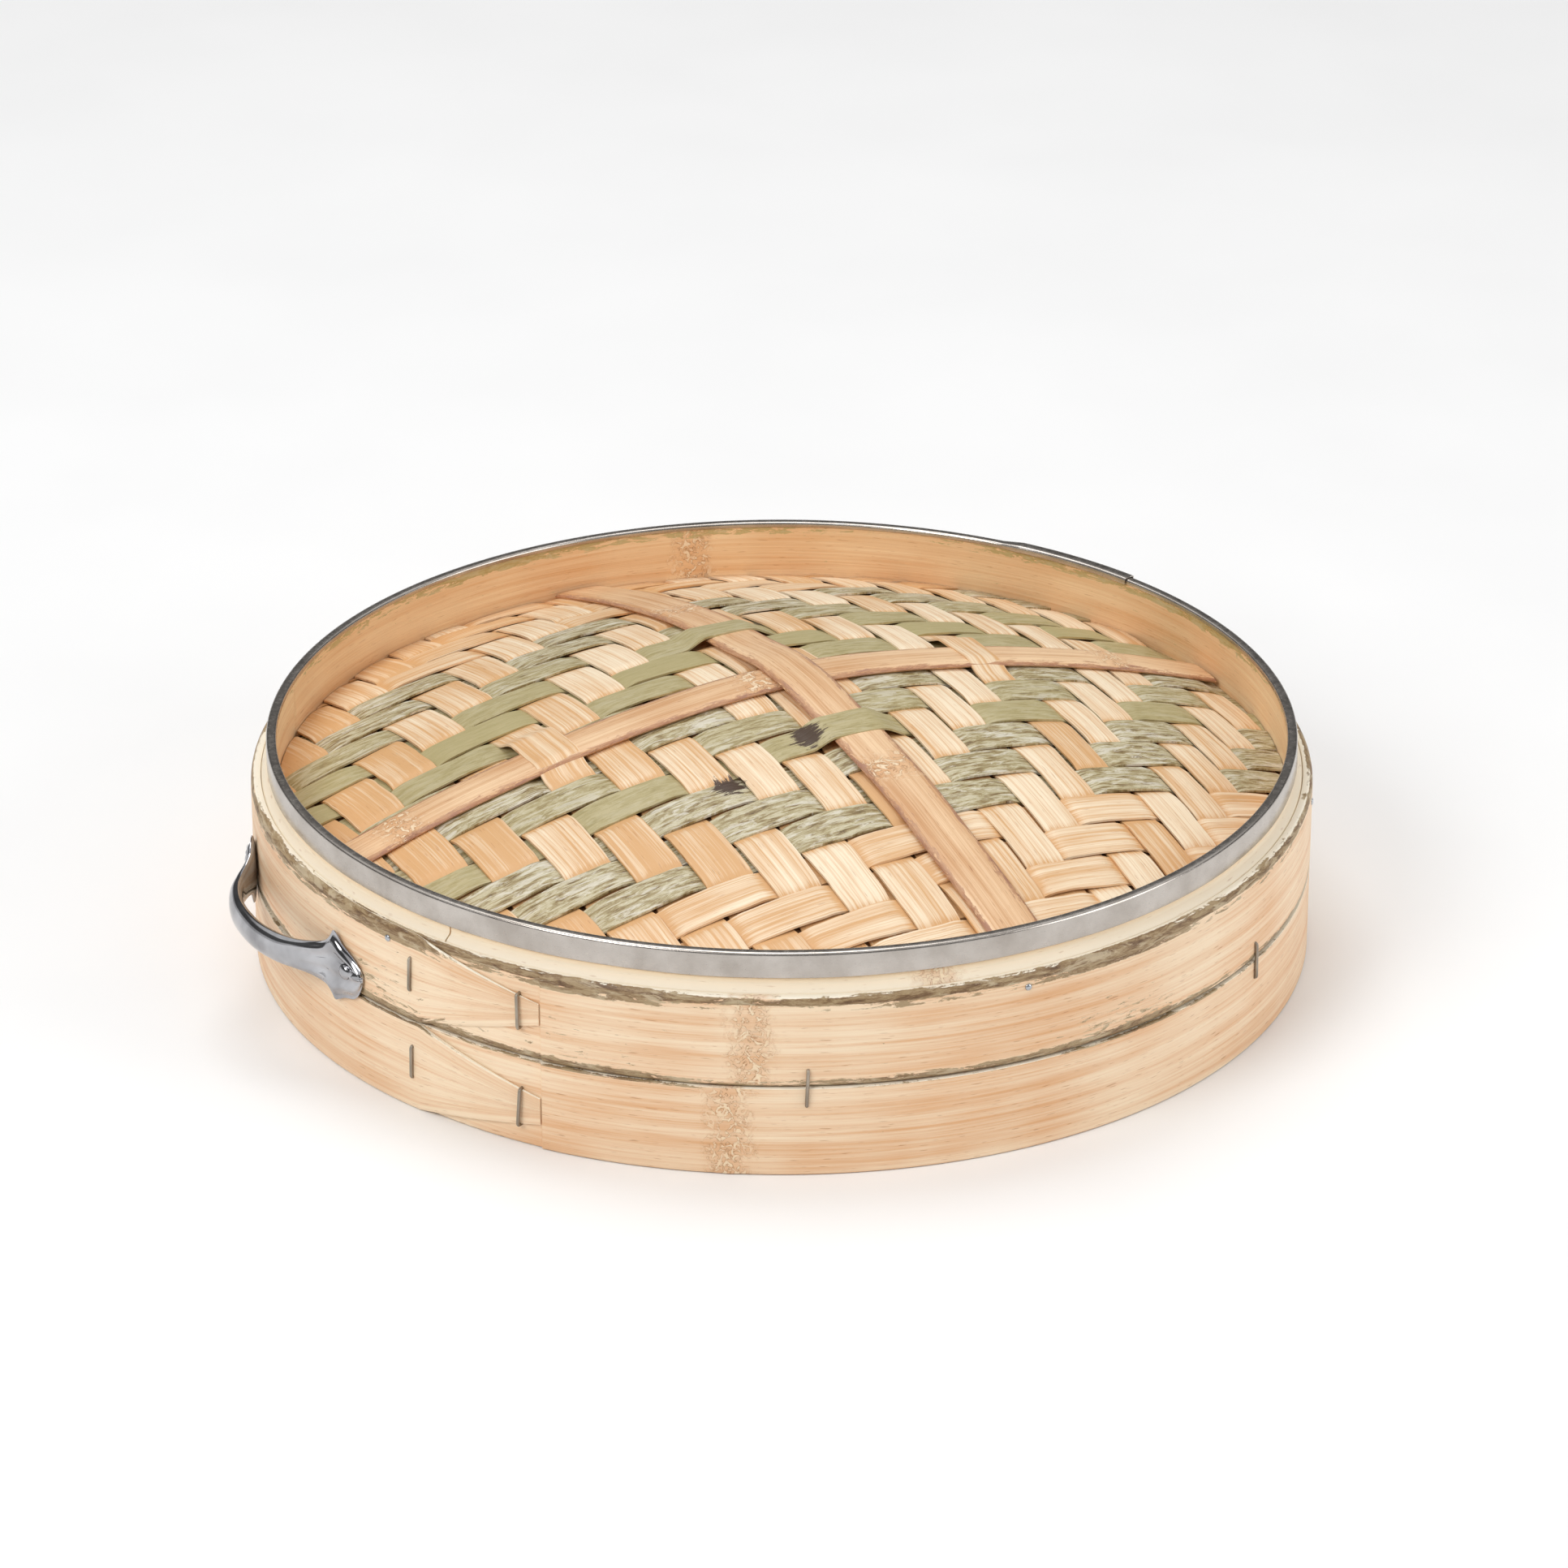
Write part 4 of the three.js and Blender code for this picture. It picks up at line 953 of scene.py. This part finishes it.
class LID_OT_woven_mat(bpy.types.Operator):
    """Weaves the domed cover in diamond twill, pale strips one way, pale and green the other"""

    bl_idname = "lid.woven_mat"
    bl_label = "Woven Dome"

    def execute(self, context):
        sizes = context.scene.lid_weave
        tree = weave_tree()
        rng = np.random.default_rng(52)
        shared = {
            **SLAT_BRIDGE, "Radius": MAT_RADIUS, "Edge Height": MAT_EDGE, "Rise": sizes.rise,
            "Roundness": sizes.power, "Depth": 1.15 * MM, "Thickness": sizes.strip,
            "Wave": 1.1 * MM, "Stiffness": 3.4, "Repeat": 4.0, "Turn": WEAVE_TURN,
            "Axis": AXIS.x, "Warping": 0.9 * MM, "Finish": woven_bamboo()}

        # painted shade: the strips to the left are painted darker, standing for the shadow the rim
        # casts on that side
        ranks = np.arange(-9, 12)
        places = sizes.warp_pitch * ranks - sizes.warp_narrowing * ranks ** 2
        widths = STRIP_FILL * (sizes.warp_pitch - 2 * sizes.warp_narrowing * ranks)
        over = (abs(ranks) == 5).astype(float)
        # painted shade from the left rim, added to the strips' tone
        aged_skin_and_rim_shade = np.clip((-places - 0.1) / 0.08, 0, 1) * 0.45
        tone = rng.uniform(-0.3, 0.25, len(ranks)) + aged_skin_and_rim_shade
        none = np.zeros(len(ranks))
        warps = strip_host("warps", places, widths, abs(ranks), over, tone, none, none)
        pieces = [baked("woven_warp_strips", tree, {
            **shared, "Cross Pitch": sizes.weft_pitch, "Cross Narrowing": NARROWEST,
            "Cross Centre": sizes.weft_centre, "Phase": 1.5, "Warp Direction": 1.0,
            "Slat Place": 12 * MM, "Slat Ramp": 15 * MM, "Seed": 1.0}, warps)]

        # bark is on the middle strips, the freshest behind the cross slat and two in front of it
        rows = np.arange(-11, 11)
        places = sizes.weft_centre + sizes.weft_pitch * rows
        widths = np.full(len(rows), STRIP_FILL * sizes.weft_pitch)
        over = (abs(rows) == 3).astype(float)
        bark = np.where(abs(rows) <= 6, 1.0, 0.0)
        fresh = np.clip(1.25 - 0.45 * abs(rows - 2), 0, 1)
        green = fresh + 0.8 * (rows == -3) + 0.35 * (rows == -2)
        tone = rng.uniform(-0.2, 0.2, len(rows)) + 0.25 * (rows > 6)
        wefts = strip_host("wefts", places, widths, abs(rows), over, tone, bark, green)
        pieces.append(baked("woven_weft_strips", tree, {
            **shared, "Cross Pitch": sizes.warp_pitch, "Cross Narrowing": sizes.warp_narrowing,
            "Cross Centre": 0.0, "Phase": 3.5, "Warp Direction": 0.0,
            "Slat Place": 8 * MM, "Slat Ramp": 14 * MM, "Seed": 2.0}, wefts))
        for piece in pieces:
            place_piece(piece, None, "woven_bamboo", "woven_dome_mat")
        return {"FINISHED"}


class LID_OT_lining_mat(bpy.types.Operator):
    """Weaves the plain lining under the cover, of wider strips, one over and one under"""

    bl_idname = "lid.lining_mat"
    bl_label = "Dome Lining"

    def execute(self, context):
        sizes = context.scene.lid_weave
        tree = bpy.data.node_groups["Woven Dome Strips"]
        rng = np.random.default_rng(7)
        count = int(MAT_RADIUS / LINING_PITCH)
        ranks = np.arange(-count, count + 1)
        none = 0 * ranks
        shared = {
            "Radius": MAT_RADIUS, "Edge Height": MAT_EDGE, "Rise": sizes.rise,
            "Roundness": sizes.power, "Depth": 3.75 * MM, "Thickness": 0.8 * MM,
            "Wave": 0.42 * MM, "Stiffness": 4.0, "Repeat": 2.0, "Turn": WEAVE_TURN,
            "Axis": AXIS.x, "Warping": 0.2 * MM, "Cross Pitch": LINING_PITCH,
            "Cross Narrowing": NARROWEST, "Cross Centre": 0.0, "Seed": 5.0,
            "Finish": lining_bamboo()}
        for name, direction, phase in (
                ("lining_warp_strips", 1.0, 0.0), ("lining_weft_strips", 0.0, 1.0)):
            host = strip_host(
                name, LINING_PITCH * ranks, np.full(len(ranks), STRIP_FILL * LINING_PITCH),
                abs(ranks), none, rng.uniform(-0.3, 0.4, len(ranks)), none, none)
            piece = baked(name, tree, {**shared, "Phase": phase, "Warp Direction": direction}, host)
            place_piece(piece, None, "lining_bamboo", "dome_lining_mat")
        return {"FINISHED"}


# ---------------------------------------------------------------- slats over the dome
SLAT_THICKNESS = 2.6 * MM
SLAT_END_GAP = 1.5 * MM  # between a slat's corners and the inner hoop
SLAT_LIFT = {"edge": 0.4 * MM, "crown": 1 * MM}  # off the cover at its edge, and more at its crown
SLAT_POWER = 1.8
HUMP = {"height": 2.9 * MM, "flat": 8 * MM, "end": 52 * MM}  # where one slat climbs over the other
SLAT_SWELL, SLAT_SWELL_REACH = 0.5 * MM, 3.5 * MM
SLAT_WAVER = ((0.7 * MM, 31, 1), (0.4 * MM, 83, 2))
SLAT_BARK_SHARES = [0.2, 0.7, 0.62, 0.3, 0.0, 0.0, 0.0, 0.3, 0.62, 0.7, 0.2]  # round the outline


def slat(name, turn, offset, width, hump_at, knots, seed):
    """A half-round split slat bent over the dome. `hump_at` is where it climbs over another one."""
    edge = abs(offset) + width / 2
    half = math.sqrt((MAT_RADIUS - SLAT_END_GAP) ** 2 - edge ** 2)
    places = np.linspace(-half, half, 241)
    outlines, facts = [], []
    rise = bpy.context.scene.lid_weave.rise + SLAT_LIFT["crown"]
    for along in places:
        fall = (abs(along) / MAT_RADIUS) ** SLAT_POWER
        base = MAT_EDGE + SLAT_LIFT["edge"] + rise * (1 - fall)
        if hump_at is not None:
            base += HUMP["height"] * (1 - smooth(HUMP["flat"], HUMP["end"], abs(along - hump_at)))
        gap = min(abs(along - k) for k in knots)
        swell = SLAT_SWELL * math.exp(-(gap / SLAT_SWELL_REACH) ** 2)
        waver = waves(SLAT_WAVER, along, seed)
        reach = width / 2 - 0.4 * MM
        left, right = offset + reach + waver * 0.5, offset - reach + waver * 0.4
        top = base + SLAT_THICKNESS + swell
        flank = 3.2 * MM
        section = [
            (left - 0.5 * MM, base), (left, base + 0.8 * MM), (left - 0.4 * MM, base + 1.5 * MM),
            (left - flank, top - 0.25 * MM), (left - 2.2 * flank, top),
            ((left + right) / 2, top + 0.1 * MM), (right + 2.2 * flank, top),
            (right + flank, top - 0.25 * MM), (right + 0.4 * MM, base + 1.5 * MM),
            (right, base + 0.8 * MM), (right + 0.5 * MM, base)]
        outlines.append([
            (AXIS.x + along * math.cos(turn) - side * math.sin(turn),
             AXIS.y + along * math.sin(turn) + side * math.cos(turn), z) for side, z in section])
        tone = waves(((0.15, 9, 1),), along, seed)
        facts += [(bark, 0.0, gap, tone) for bark in SLAT_BARK_SHARES]
    verts, faces, grain = sweep(outlines, places + half)
    return mesh_piece(name, verts, faces, grain, facts, sharp=math.radians(60))


class LID_OT_slats(bpy.types.Operator):
    """Bends the two split slats that cross over the dome"""

    bl_idname = "lid.slats"
    bl_label = "Slats"

    def execute(self, context):
        finish = slat_bamboo()
        long_slat = slat("long_slat_bamboo", math.radians(93.4), offset=-8.4 * MM, width=27.5 * MM,
                         hump_at=4.5 * MM, knots=[-95 * MM, 128 * MM], seed=1.0)
        cross = slat("cross_slat_bamboo", math.radians(3.9), offset=4.8 * MM, width=25.5 * MM,
                     hump_at=None, knots=[-12 * MM, -205 * MM, 190 * MM], seed=2.0)
        place_piece(long_slat, finish, "slat_bamboo", "long_slat")
        place_piece(cross, finish, "slat_bamboo", "cross_slat")
        return {"FINISHED"}


# ---------------------------------------------------------------- fastenings
STAPLES = {
    "lap_staple_wire": [f"lap_staple_{hoop}_{i}" for hoop in ("upper", "lower") for i in (1, 2)],
    "bridge_staple_wire": [f"bridge_staple_{i}" for i in range(1, 6)]}
STAPLE_LEANS = [lean * MM for lean in (0.35, -0.3, 0.2, 0.5, -0.4)]  # none is driven quite upright
STAPLE_PROUD = 0.9 * MM  # how far a lap's second staple stands off the wood
STAPLE_LEG = 5 * MM
STAPLE_SEAT = 0.1 * MM


def wire_tree():
    """Geometry Nodes: round wire along the host's edges, bent at their corners."""
    tree, given = new_tree("Bent Wire", "Path", "Wire", {
        "Wire Radius": 0.0009, "Bend Radius": 0.0016})
    path = add(tree, "GeometryNodeMeshToCurve", {"Mesh": given["Path"]})
    bent = add(tree, "GeometryNodeFilletCurve", {
        "mode": "POLY", "Curve": path, "Count": 5, "Radius": given["Bend Radius"]})
    ring = add(tree, "GeometryNodeCurvePrimitiveCircle", {
        "Resolution": 12, "Radius": given["Wire Radius"]})
    wire = add(tree, "GeometryNodeCurveToMesh", {
        "Curve": bent, "Profile Curve": ring, "Fill Caps": True})
    soft = add(tree, "GeometryNodeSetShadeSmooth", {"Geometry": wire})
    return close_tree(tree, soft, given["Finish"])


class LID_OT_staples(bpy.types.Operator):
    """Drives the wire staples that close the laps and bridge the two outer hoops"""

    bl_idname = "lid.staples"
    bl_label = "Staples"

    def execute(self, context):
        wire = context.scene.lid_fittings.wire
        finish = iron_wire()
        tree = wire_tree()
        face, deep = WALL_RADIUS + wire / 2 + STAPLE_SEAT, WALL_RADIUS - STAPLE_LEG
        for name, nodes in STAPLES.items():
            verts, edges = [], []
            for lean, node in zip(STAPLE_LEANS, nodes):
                centre = middle(node) - AXIS
                angle = math.atan2(centre.y, centre.x)
                second = node in ("lap_staple_upper_2", "lap_staple_lower_2")
                proud = STAPLE_PROUD if second else 0.0
                bottom, top = heights_of(node)
                bottom, top = bottom + wire / 2, top - wire / 2
                lean_angle = lean / WALL_RADIUS
                first = len(verts)
                for radius, height, turn in (
                        (deep, bottom, 0), (face + proud, bottom, -lean_angle),
                        (face + 0.4 * proud, top, lean_angle), (deep, top, 0)):
                    verts.append(ring_place(radius, angle + turn, height))
                edges += [(first + i, first + i + 1) for i in range(3)]
            host = bpy.data.meshes.new(name)
            host.from_pydata(verts, edges, [])
            piece = baked(name, tree, {
                "Wire Radius": wire / 2, "Bend Radius": 1.3 * MM, "Finish": finish}, host)
            place_piece(piece, None, "staple_wire", *nodes)
        return {"FINISHED"}


def fixing_tree():
    """Geometry Nodes: a low domed head on a round shank, set on each point, facing outward."""
    tree, given = new_tree("Domed Fixings", "Places", "Fixings", {
        "Head Radius": 0.0016, "Head Height": 0.0008, "Shank Radius": 0.0008, "Length": 0.015})
    ball = add(tree, "GeometryNodeMeshUVSphere", {"Segments": 20, "Rings": 12, "Radius": 1.0})
    size = add(tree, "ShaderNodeCombineXYZ", {
        "X": given["Head Radius"], "Y": given["Head Radius"], "Z": given["Head Height"]})
    head = add(tree, "GeometryNodeTransform", {"Geometry": ball, "Scale": size})
    shank = add(tree, "GeometryNodeMeshCone", {
        "Vertices": 14, "Side Segments": 3, "Radius Top": given["Shank Radius"],
        "Radius Bottom": given["Shank Radius"], "Depth": given["Length"]})
    back = add(tree, MATH, {"operation": "MULTIPLY", 0: given["Length"], 1: -1.0})
    drop = add(tree, "ShaderNodeCombineXYZ", {"Z": back})
    set_back = add(tree, "GeometryNodeTransform", {"Geometry": shank, "Translation": drop})
    join = tree.nodes.new("GeometryNodeJoinGeometry")
    tree.links.new(head, join.inputs[0])
    tree.links.new(set_back, join.inputs[0])
    outward = add(tree, "GeometryNodeInputNamedAttribute", {
        "data_type": "FLOAT_VECTOR", "Name": "outward"})
    facing = add(tree, "FunctionNodeAlignRotationToVector", {"axis": "Z", "Vector": outward})
    placed = add(tree, "GeometryNodeInstanceOnPoints", {
        "Points": given["Places"], "Instance": join.outputs[0], "Rotation": facing})
    soft = add(tree, "GeometryNodeSetShadeSmooth", {"Geometry": placed})
    return close_tree(tree, soft, given["Finish"])


def outward_of(node):
    """The level direction from the lid's axis to a node"""
    arm = middle(node) - AXIS
    arm.z = 0
    return arm.normalized()


def fixing_host(name, nodes, radius):
    """A mesh of points where the nodes leave the wall, with the way each one faces."""
    mesh = bpy.data.meshes.new(name)
    arms = [outward_of(node) for node in nodes]
    mesh.from_pydata([AXIS + arm * radius + Vector((0, 0, middle(node).z))
                      for arm, node in zip(arms, nodes)], [], [])
    store(mesh, "outward", [tuple(arm) for arm in arms], "FLOAT_VECTOR", "vector")
    return mesh


class LID_OT_nails(bpy.types.Operator):
    """Drives the small nails that hold the upper hoop to the inner one"""

    bl_idname = "lid.nails"
    bl_label = "Hoop Nails"

    def execute(self, context):
        nodes = [f"hoop_nail_{i}" for i in range(1, 7)]
        host = fixing_host("hoop_nails", nodes, WALL_RADIUS + 0.2 * MM)
        piece = baked("hoop_nails", fixing_tree(), {
            "Head Radius": 1.7 * MM, "Head Height": 0.9 * MM, "Shank Radius": 0.8 * MM,
            "Length": 7.8 * MM, "Finish": zinc_plate()}, host)
        place_piece(piece, None, "zinc_plated_steel", *nodes)
        return {"FINISHED"}


GRIP_THICKNESS = 6.5 * MM
SCREW_FROM_CREASE = 9.6  # millimetres along the foot
FOOT_RELIEF = 1.1 * MM  # depth of the ridges cast into a foot
HANDLE_SIDES = 36


class LID_OT_handle(bpy.types.Operator):
    """Casts the bow handle with its two crest-shaped feet"""

    bl_idname = "lid.handle"
    bl_label = "Bow Handle"

    def execute(self, context):
        sizes = context.scene.lid_fittings
        low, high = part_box("bow_handle")
        level = (low.z + high.z) / 2
        reach = AXIS.x - low.x
        plate = WALL_RADIUS + FIT_GAP + sizes.plate / 2
        grip_radius = reach - GRIP_THICKNESS / 2
        screws = [outward_of(f"handle_screw_{i}") for i in (1, 2)]
        screw_angle = math.acos(screws[0].dot(screws[1])) / 2
        mm_angle = MM / WALL_RADIUS
        crease = screw_angle - SCREW_FROM_CREASE * mm_angle
        bow = grip_radius - plate
        # angle, middle radius, half height above and below, thickness, dish of the outer face
        half = [
            (0.00, grip_radius, 7.25, 7.25, 6.4, -0.9),
            (0.25 * crease, plate + 0.957 * bow, 7.25, 7.25, 6.4, -0.9),
            (0.50 * crease, plate + 0.773 * bow, 7.4, 7.4, 6.8, -0.7),
            (0.66 * crease, plate + 0.546 * bow, 7.7, 7.7, 7.0, 0.0),
            (0.80 * crease, plate + 0.31 * bow, 9.0, 9.0, 6.6, 0.6),
            (0.91 * crease, plate + 0.14 * bow, 11.2, 11.6, 5.6, 1.0),
            (0.97 * crease, plate + 1.6 * MM, 14.8, 15.2, 4.8, 0.8),
            (crease, plate + 1.0 * MM, 18.0, 18.4, 4.0, 0.4),
            (crease + 2.2 * mm_angle, plate + 0.3 * MM, 16.2, 17.8, 3.2, -0.3),
            (crease + 6.0 * mm_angle, plate, 12.6, 15.8, 2.8, -0.3),
            (crease + 10.0 * mm_angle, plate, 10.8, 14.4, 2.7, -0.3),
            (crease + 14.0 * mm_angle, plate, 8.8, 13.2, 2.6, -0.3),
            (crease + 17.5 * mm_angle, plate, 6.4, 10.4, 2.6, -0.2),
            (crease + 20.0 * mm_angle, plate, 4.0, 6.2, 2.4, -0.1),
            (crease + 21.2 * mm_angle, plate, 1.6, 3.0, 1.8, 0.0)]
        table = np.array([(a, r, u * MM, d * MM, t * MM, s * MM) for a, r, u, d, t, s in half])
        whole = np.concatenate([table[::-1] * [-1, 1, 1, 1, 1, 1], table[1:]])
        keys = np.arange(len(whole))
        fine = np.linspace(0, len(whole) - 1, 6 * (len(whole) - 1) + 1)
        stations = np.array([catmull(whole, keys, t) for t in fine])
        outlines = []
        for angle, radius, up, down, thick, dish in stations:
            outline = []
            foot = smooth(0.62 * crease, crease, abs(angle))
            for k in range(HANDLE_SIDES):
                turn = 2 * math.pi * k / HANDLE_SIDES
                c, s = math.cos(turn), math.sin(turn)
                flat_c = math.copysign(abs(c) ** 0.75, c)
                tall = math.copysign(abs(s) ** 0.9, s)
                r = radius + thick / 2 * flat_c
                if c > 0:
                    r -= dish * (1 - tall * tall) * min(1.0, 2.5 * c)
                    r += FOOT_RELIEF * foot * math.cos(3.3 * math.pi * tall) * min(1.0, 2.5 * c)
                z = level + (up if tall > 0 else down) * tall
                outline.append(ring_place(r, math.pi + angle, z))
            outlines.append(outline)
        along = np.concatenate([[0], np.cumsum(np.abs(np.diff(stations[:, 0])) * reach)])
        verts, faces, grain = sweep(outlines, along)
        piece = mesh_piece("bow_handle_chrome", verts, faces, grain, sharp=math.radians(80))
        place_piece(piece, chrome_plate(), "chrome", "bow_handle")
        return {"FINISHED"}


def catmull(table, keys, t):
    """A point on the smooth curve through the rows of a table."""
    i = min(int(t), len(keys) - 2)
    f = t - i
    before, here = table[max(i - 1, 0)], table[i]
    after, beyond = table[i + 1], table[min(i + 2, len(table) - 1)]
    square = 2 * before - 5 * here + 4 * after - beyond
    cube = 3 * here - before - 3 * after + beyond
    return 0.5 * (2 * here + (after - before) * f + square * f ** 2 + cube * f ** 3)


class LID_OT_handle_fixings(bpy.types.Operator):
    """Fits the handle's screws, washers and nuts"""

    bl_idname = "lid.handle_fixings"
    bl_label = "Handle Screws"

    def execute(self, context):
        finish = chrome_plate()
        nodes = ["handle_screw_1", "handle_screw_2"]
        face = WALL_RADIUS + FIT_GAP + context.scene.lid_fittings.plate
        host = fixing_host("handle_screws", nodes, face)
        piece = baked("handle_screws", bpy.data.node_groups["Domed Fixings"], {
            "Head Radius": 4 * MM, "Head Height": 2.4 * MM, "Shank Radius": 1.95 * MM,
            "Length": 15.4 * MM, "Finish": finish}, host)
        place_piece(piece, None, "zinc_plated_steel", *nodes)
        plain = zinc_plate()
        for name in ("handle_washer_1", "handle_washer_2", "handle_nut_1", "handle_nut_2"):
            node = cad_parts[name]
            node.data.materials.clear()
            node.data.materials.append(plain)
        return {"FINISHED"}


# ---------------------------------------------------------------- stage
FLOOR_HALF, FLOOR_LEVEL = 9.0, -0.5 * MM
AIM = Vector((0.0, 0.0, 0.06))
LIGHTS = {  # place, width and power
    "key_light": ((-2.2, -0.9, 2.0), 1.6, 37), "fill_light": ((2.1, -1.9, 1.2), 2.0, 27),
    "top_light": ((0.2, 1.1, 2.8), 1.8, 26)}
SKY = [(0.0, 0.85), (0.1, 0.7), (0.18, 0.12), (0.52, 0.14), (0.62, 1.0), (1.0, 0.7)]
LENS, SENSOR, CAMERA_DISTANCE = 152.51, 36.0, 3.275
CAMERA_ELEVATION, CAMERA_AZIMUTH = math.radians(25.75), math.radians(-24.2)
CAMERA_TRIM = (("Y", -0.0188), ("X", 0.3311), ("Z", 0.0237))  # small turns, degrees, in order
FOCUS_HEIGHT = 55 * MM


class LID_OT_stage(bpy.types.Operator):
    """Sets out the pale floor, the soft lights and the camera"""

    bl_idname = "lid.stage"
    bl_label = "Stage"

    def execute(self, context):
        scene = context.scene
        scene.view_settings.view_transform = "Standard"
        # Matt seamless paper, rolled out: almost white, with a very slight mottle.
        material, tree = new_material("Pale studio floor")
        place = add(tree, "ShaderNodeTexCoord", {}, "Object")
        mottle = add(tree, NOISE, {"Vector": place, "Scale": 6.0, "Detail": 2.0, "Roughness": 0.5})
        share = add(tree, SPAN, {"Value": mottle, "span": (0.3, 0.7)})
        colour = add(tree, MIX, {"data_type": "RGBA", 0: share, 6: "FAFAFA", 7: "F7F7F7"}, 2)
        paper = add(tree, "ShaderNodeBsdfPrincipled", {"Base Color": colour, "Roughness": 0.9})
        close_material(tree, paper)
        mesh = bpy.data.meshes.new("studio_floor")
        corners = ((-1, -1), (1, -1), (1, 1), (-1, 1))
        mesh.from_pydata([(x * FLOOR_HALF, y * FLOOR_HALF, FLOOR_LEVEL) for x, y in corners],
                         [], [(0, 1, 2, 3)])
        mesh.materials.append(material)
        floor = bpy.data.objects.new("studio_floor", mesh)
        scene.collection.objects.link(floor)

        world = bpy.data.worlds.new("Studio")
        scene.world = world
        world.use_nodes = True
        sky = world.node_tree
        sky.nodes.clear()
        direction = add(sky, "ShaderNodeTexCoord", {}, "Generated")
        height = add(sky, "ShaderNodeSeparateXYZ", {"Vector": direction}, "Z")
        # soft boxes overhead and low down, with darker studio between them
        shade = add(sky, "ShaderNodeValToRGB", {"Fac": height, "stops": SKY})
        glow = add(sky, "ShaderNodeBackground", {"Color": shade, "Strength": 0.8})
        sky.links.new(glow, sky.nodes.new("ShaderNodeOutputWorld").inputs["Surface"])

        for name, (where, wide, power) in LIGHTS.items():
            lamp = bpy.data.lights.new(name, "AREA")
            lamp.shape = "DISK"
            lamp.size = wide
            lamp.energy = power
            lamp_object = bpy.data.objects.new(name, lamp)
            lamp_object.location = where
            to_aim = (AIM - Vector(where)).to_track_quat("-Z", "Y")
            lamp_object.rotation_euler = to_aim.to_euler()
            scene.collection.objects.link(lamp_object)

        view = bpy.data.cameras.new("view")
        view.lens = LENS
        view.sensor_width = SENSOR
        camera = bpy.data.objects.new("view", view)
        level = math.cos(CAMERA_ELEVATION)
        arm = Vector((math.sin(CAMERA_AZIMUTH) * level, -math.cos(CAMERA_AZIMUTH) * level,
                      math.sin(CAMERA_ELEVATION)))
        facing = (-arm).to_track_quat("-Z", "Y").to_matrix()
        trim = Matrix.Identity(3)
        for axis, degrees in CAMERA_TRIM:
            trim = trim @ Matrix.Rotation(math.radians(degrees), 3, axis)
        stand = AXIS + Vector((0, 0, FOCUS_HEIGHT)) + CAMERA_DISTANCE * arm
        camera.matrix_world = Matrix.Translation(stand) @ (facing @ trim).to_4x4()
        scene.collection.objects.link(camera)
        scene.camera = camera
        return {"FINISHED"}


OPERATORS = (
    LID_OT_stage, LID_OT_outer_hoops, LID_OT_inner_hoop, LID_OT_retaining_hoop, LID_OT_steel_band,
    LID_OT_woven_mat, LID_OT_lining_mat, LID_OT_slats, LID_OT_staples, LID_OT_nails, LID_OT_handle,
    LID_OT_handle_fixings)
SETTINGS = {"lid_hoops": LidHoopSizes, "lid_weave": LidWeaveSizes, "lid_fittings": LidFittingSizes,
            "lid_colours": LidColours}


class LID_PT_sidebar(bpy.types.Panel):
    """Lists the lid's sizes and the steps that build it"""

    bl_idname = "LID_PT_sidebar"
    bl_label = "Steamer Lid"
    bl_space_type = "VIEW_3D"
    bl_region_type = "UI"
    bl_category = "Steamer Lid"

    def draw(self, context):
        for name, group in SETTINGS.items():
            box = self.layout.box()
            for key in group.__annotations__:
                box.prop(getattr(context.scene, name), key)
        for operator in OPERATORS:
            self.layout.operator(operator.bl_idname)


def register():
    for group in SETTINGS.values():
        bpy.utils.register_class(group)
    for item in (*OPERATORS, LID_PT_sidebar):
        bpy.utils.register_class(item)
    for name, group in SETTINGS.items():
        setattr(bpy.types.Scene, name, bpy.props.PointerProperty(type=group))


def unregister():
    for name in SETTINGS:
        delattr(bpy.types.Scene, name)
    for item in (LID_PT_sidebar, *reversed(OPERATORS)):
        bpy.utils.unregister_class(item)
    for group in SETTINGS.values():
        bpy.utils.unregister_class(group)


def main():
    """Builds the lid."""
    register()
    for operator in OPERATORS:
        group, name = operator.bl_idname.split(".")
        getattr(getattr(bpy.ops, group), name)()
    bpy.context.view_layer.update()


if __name__ == "__main__":
    main()
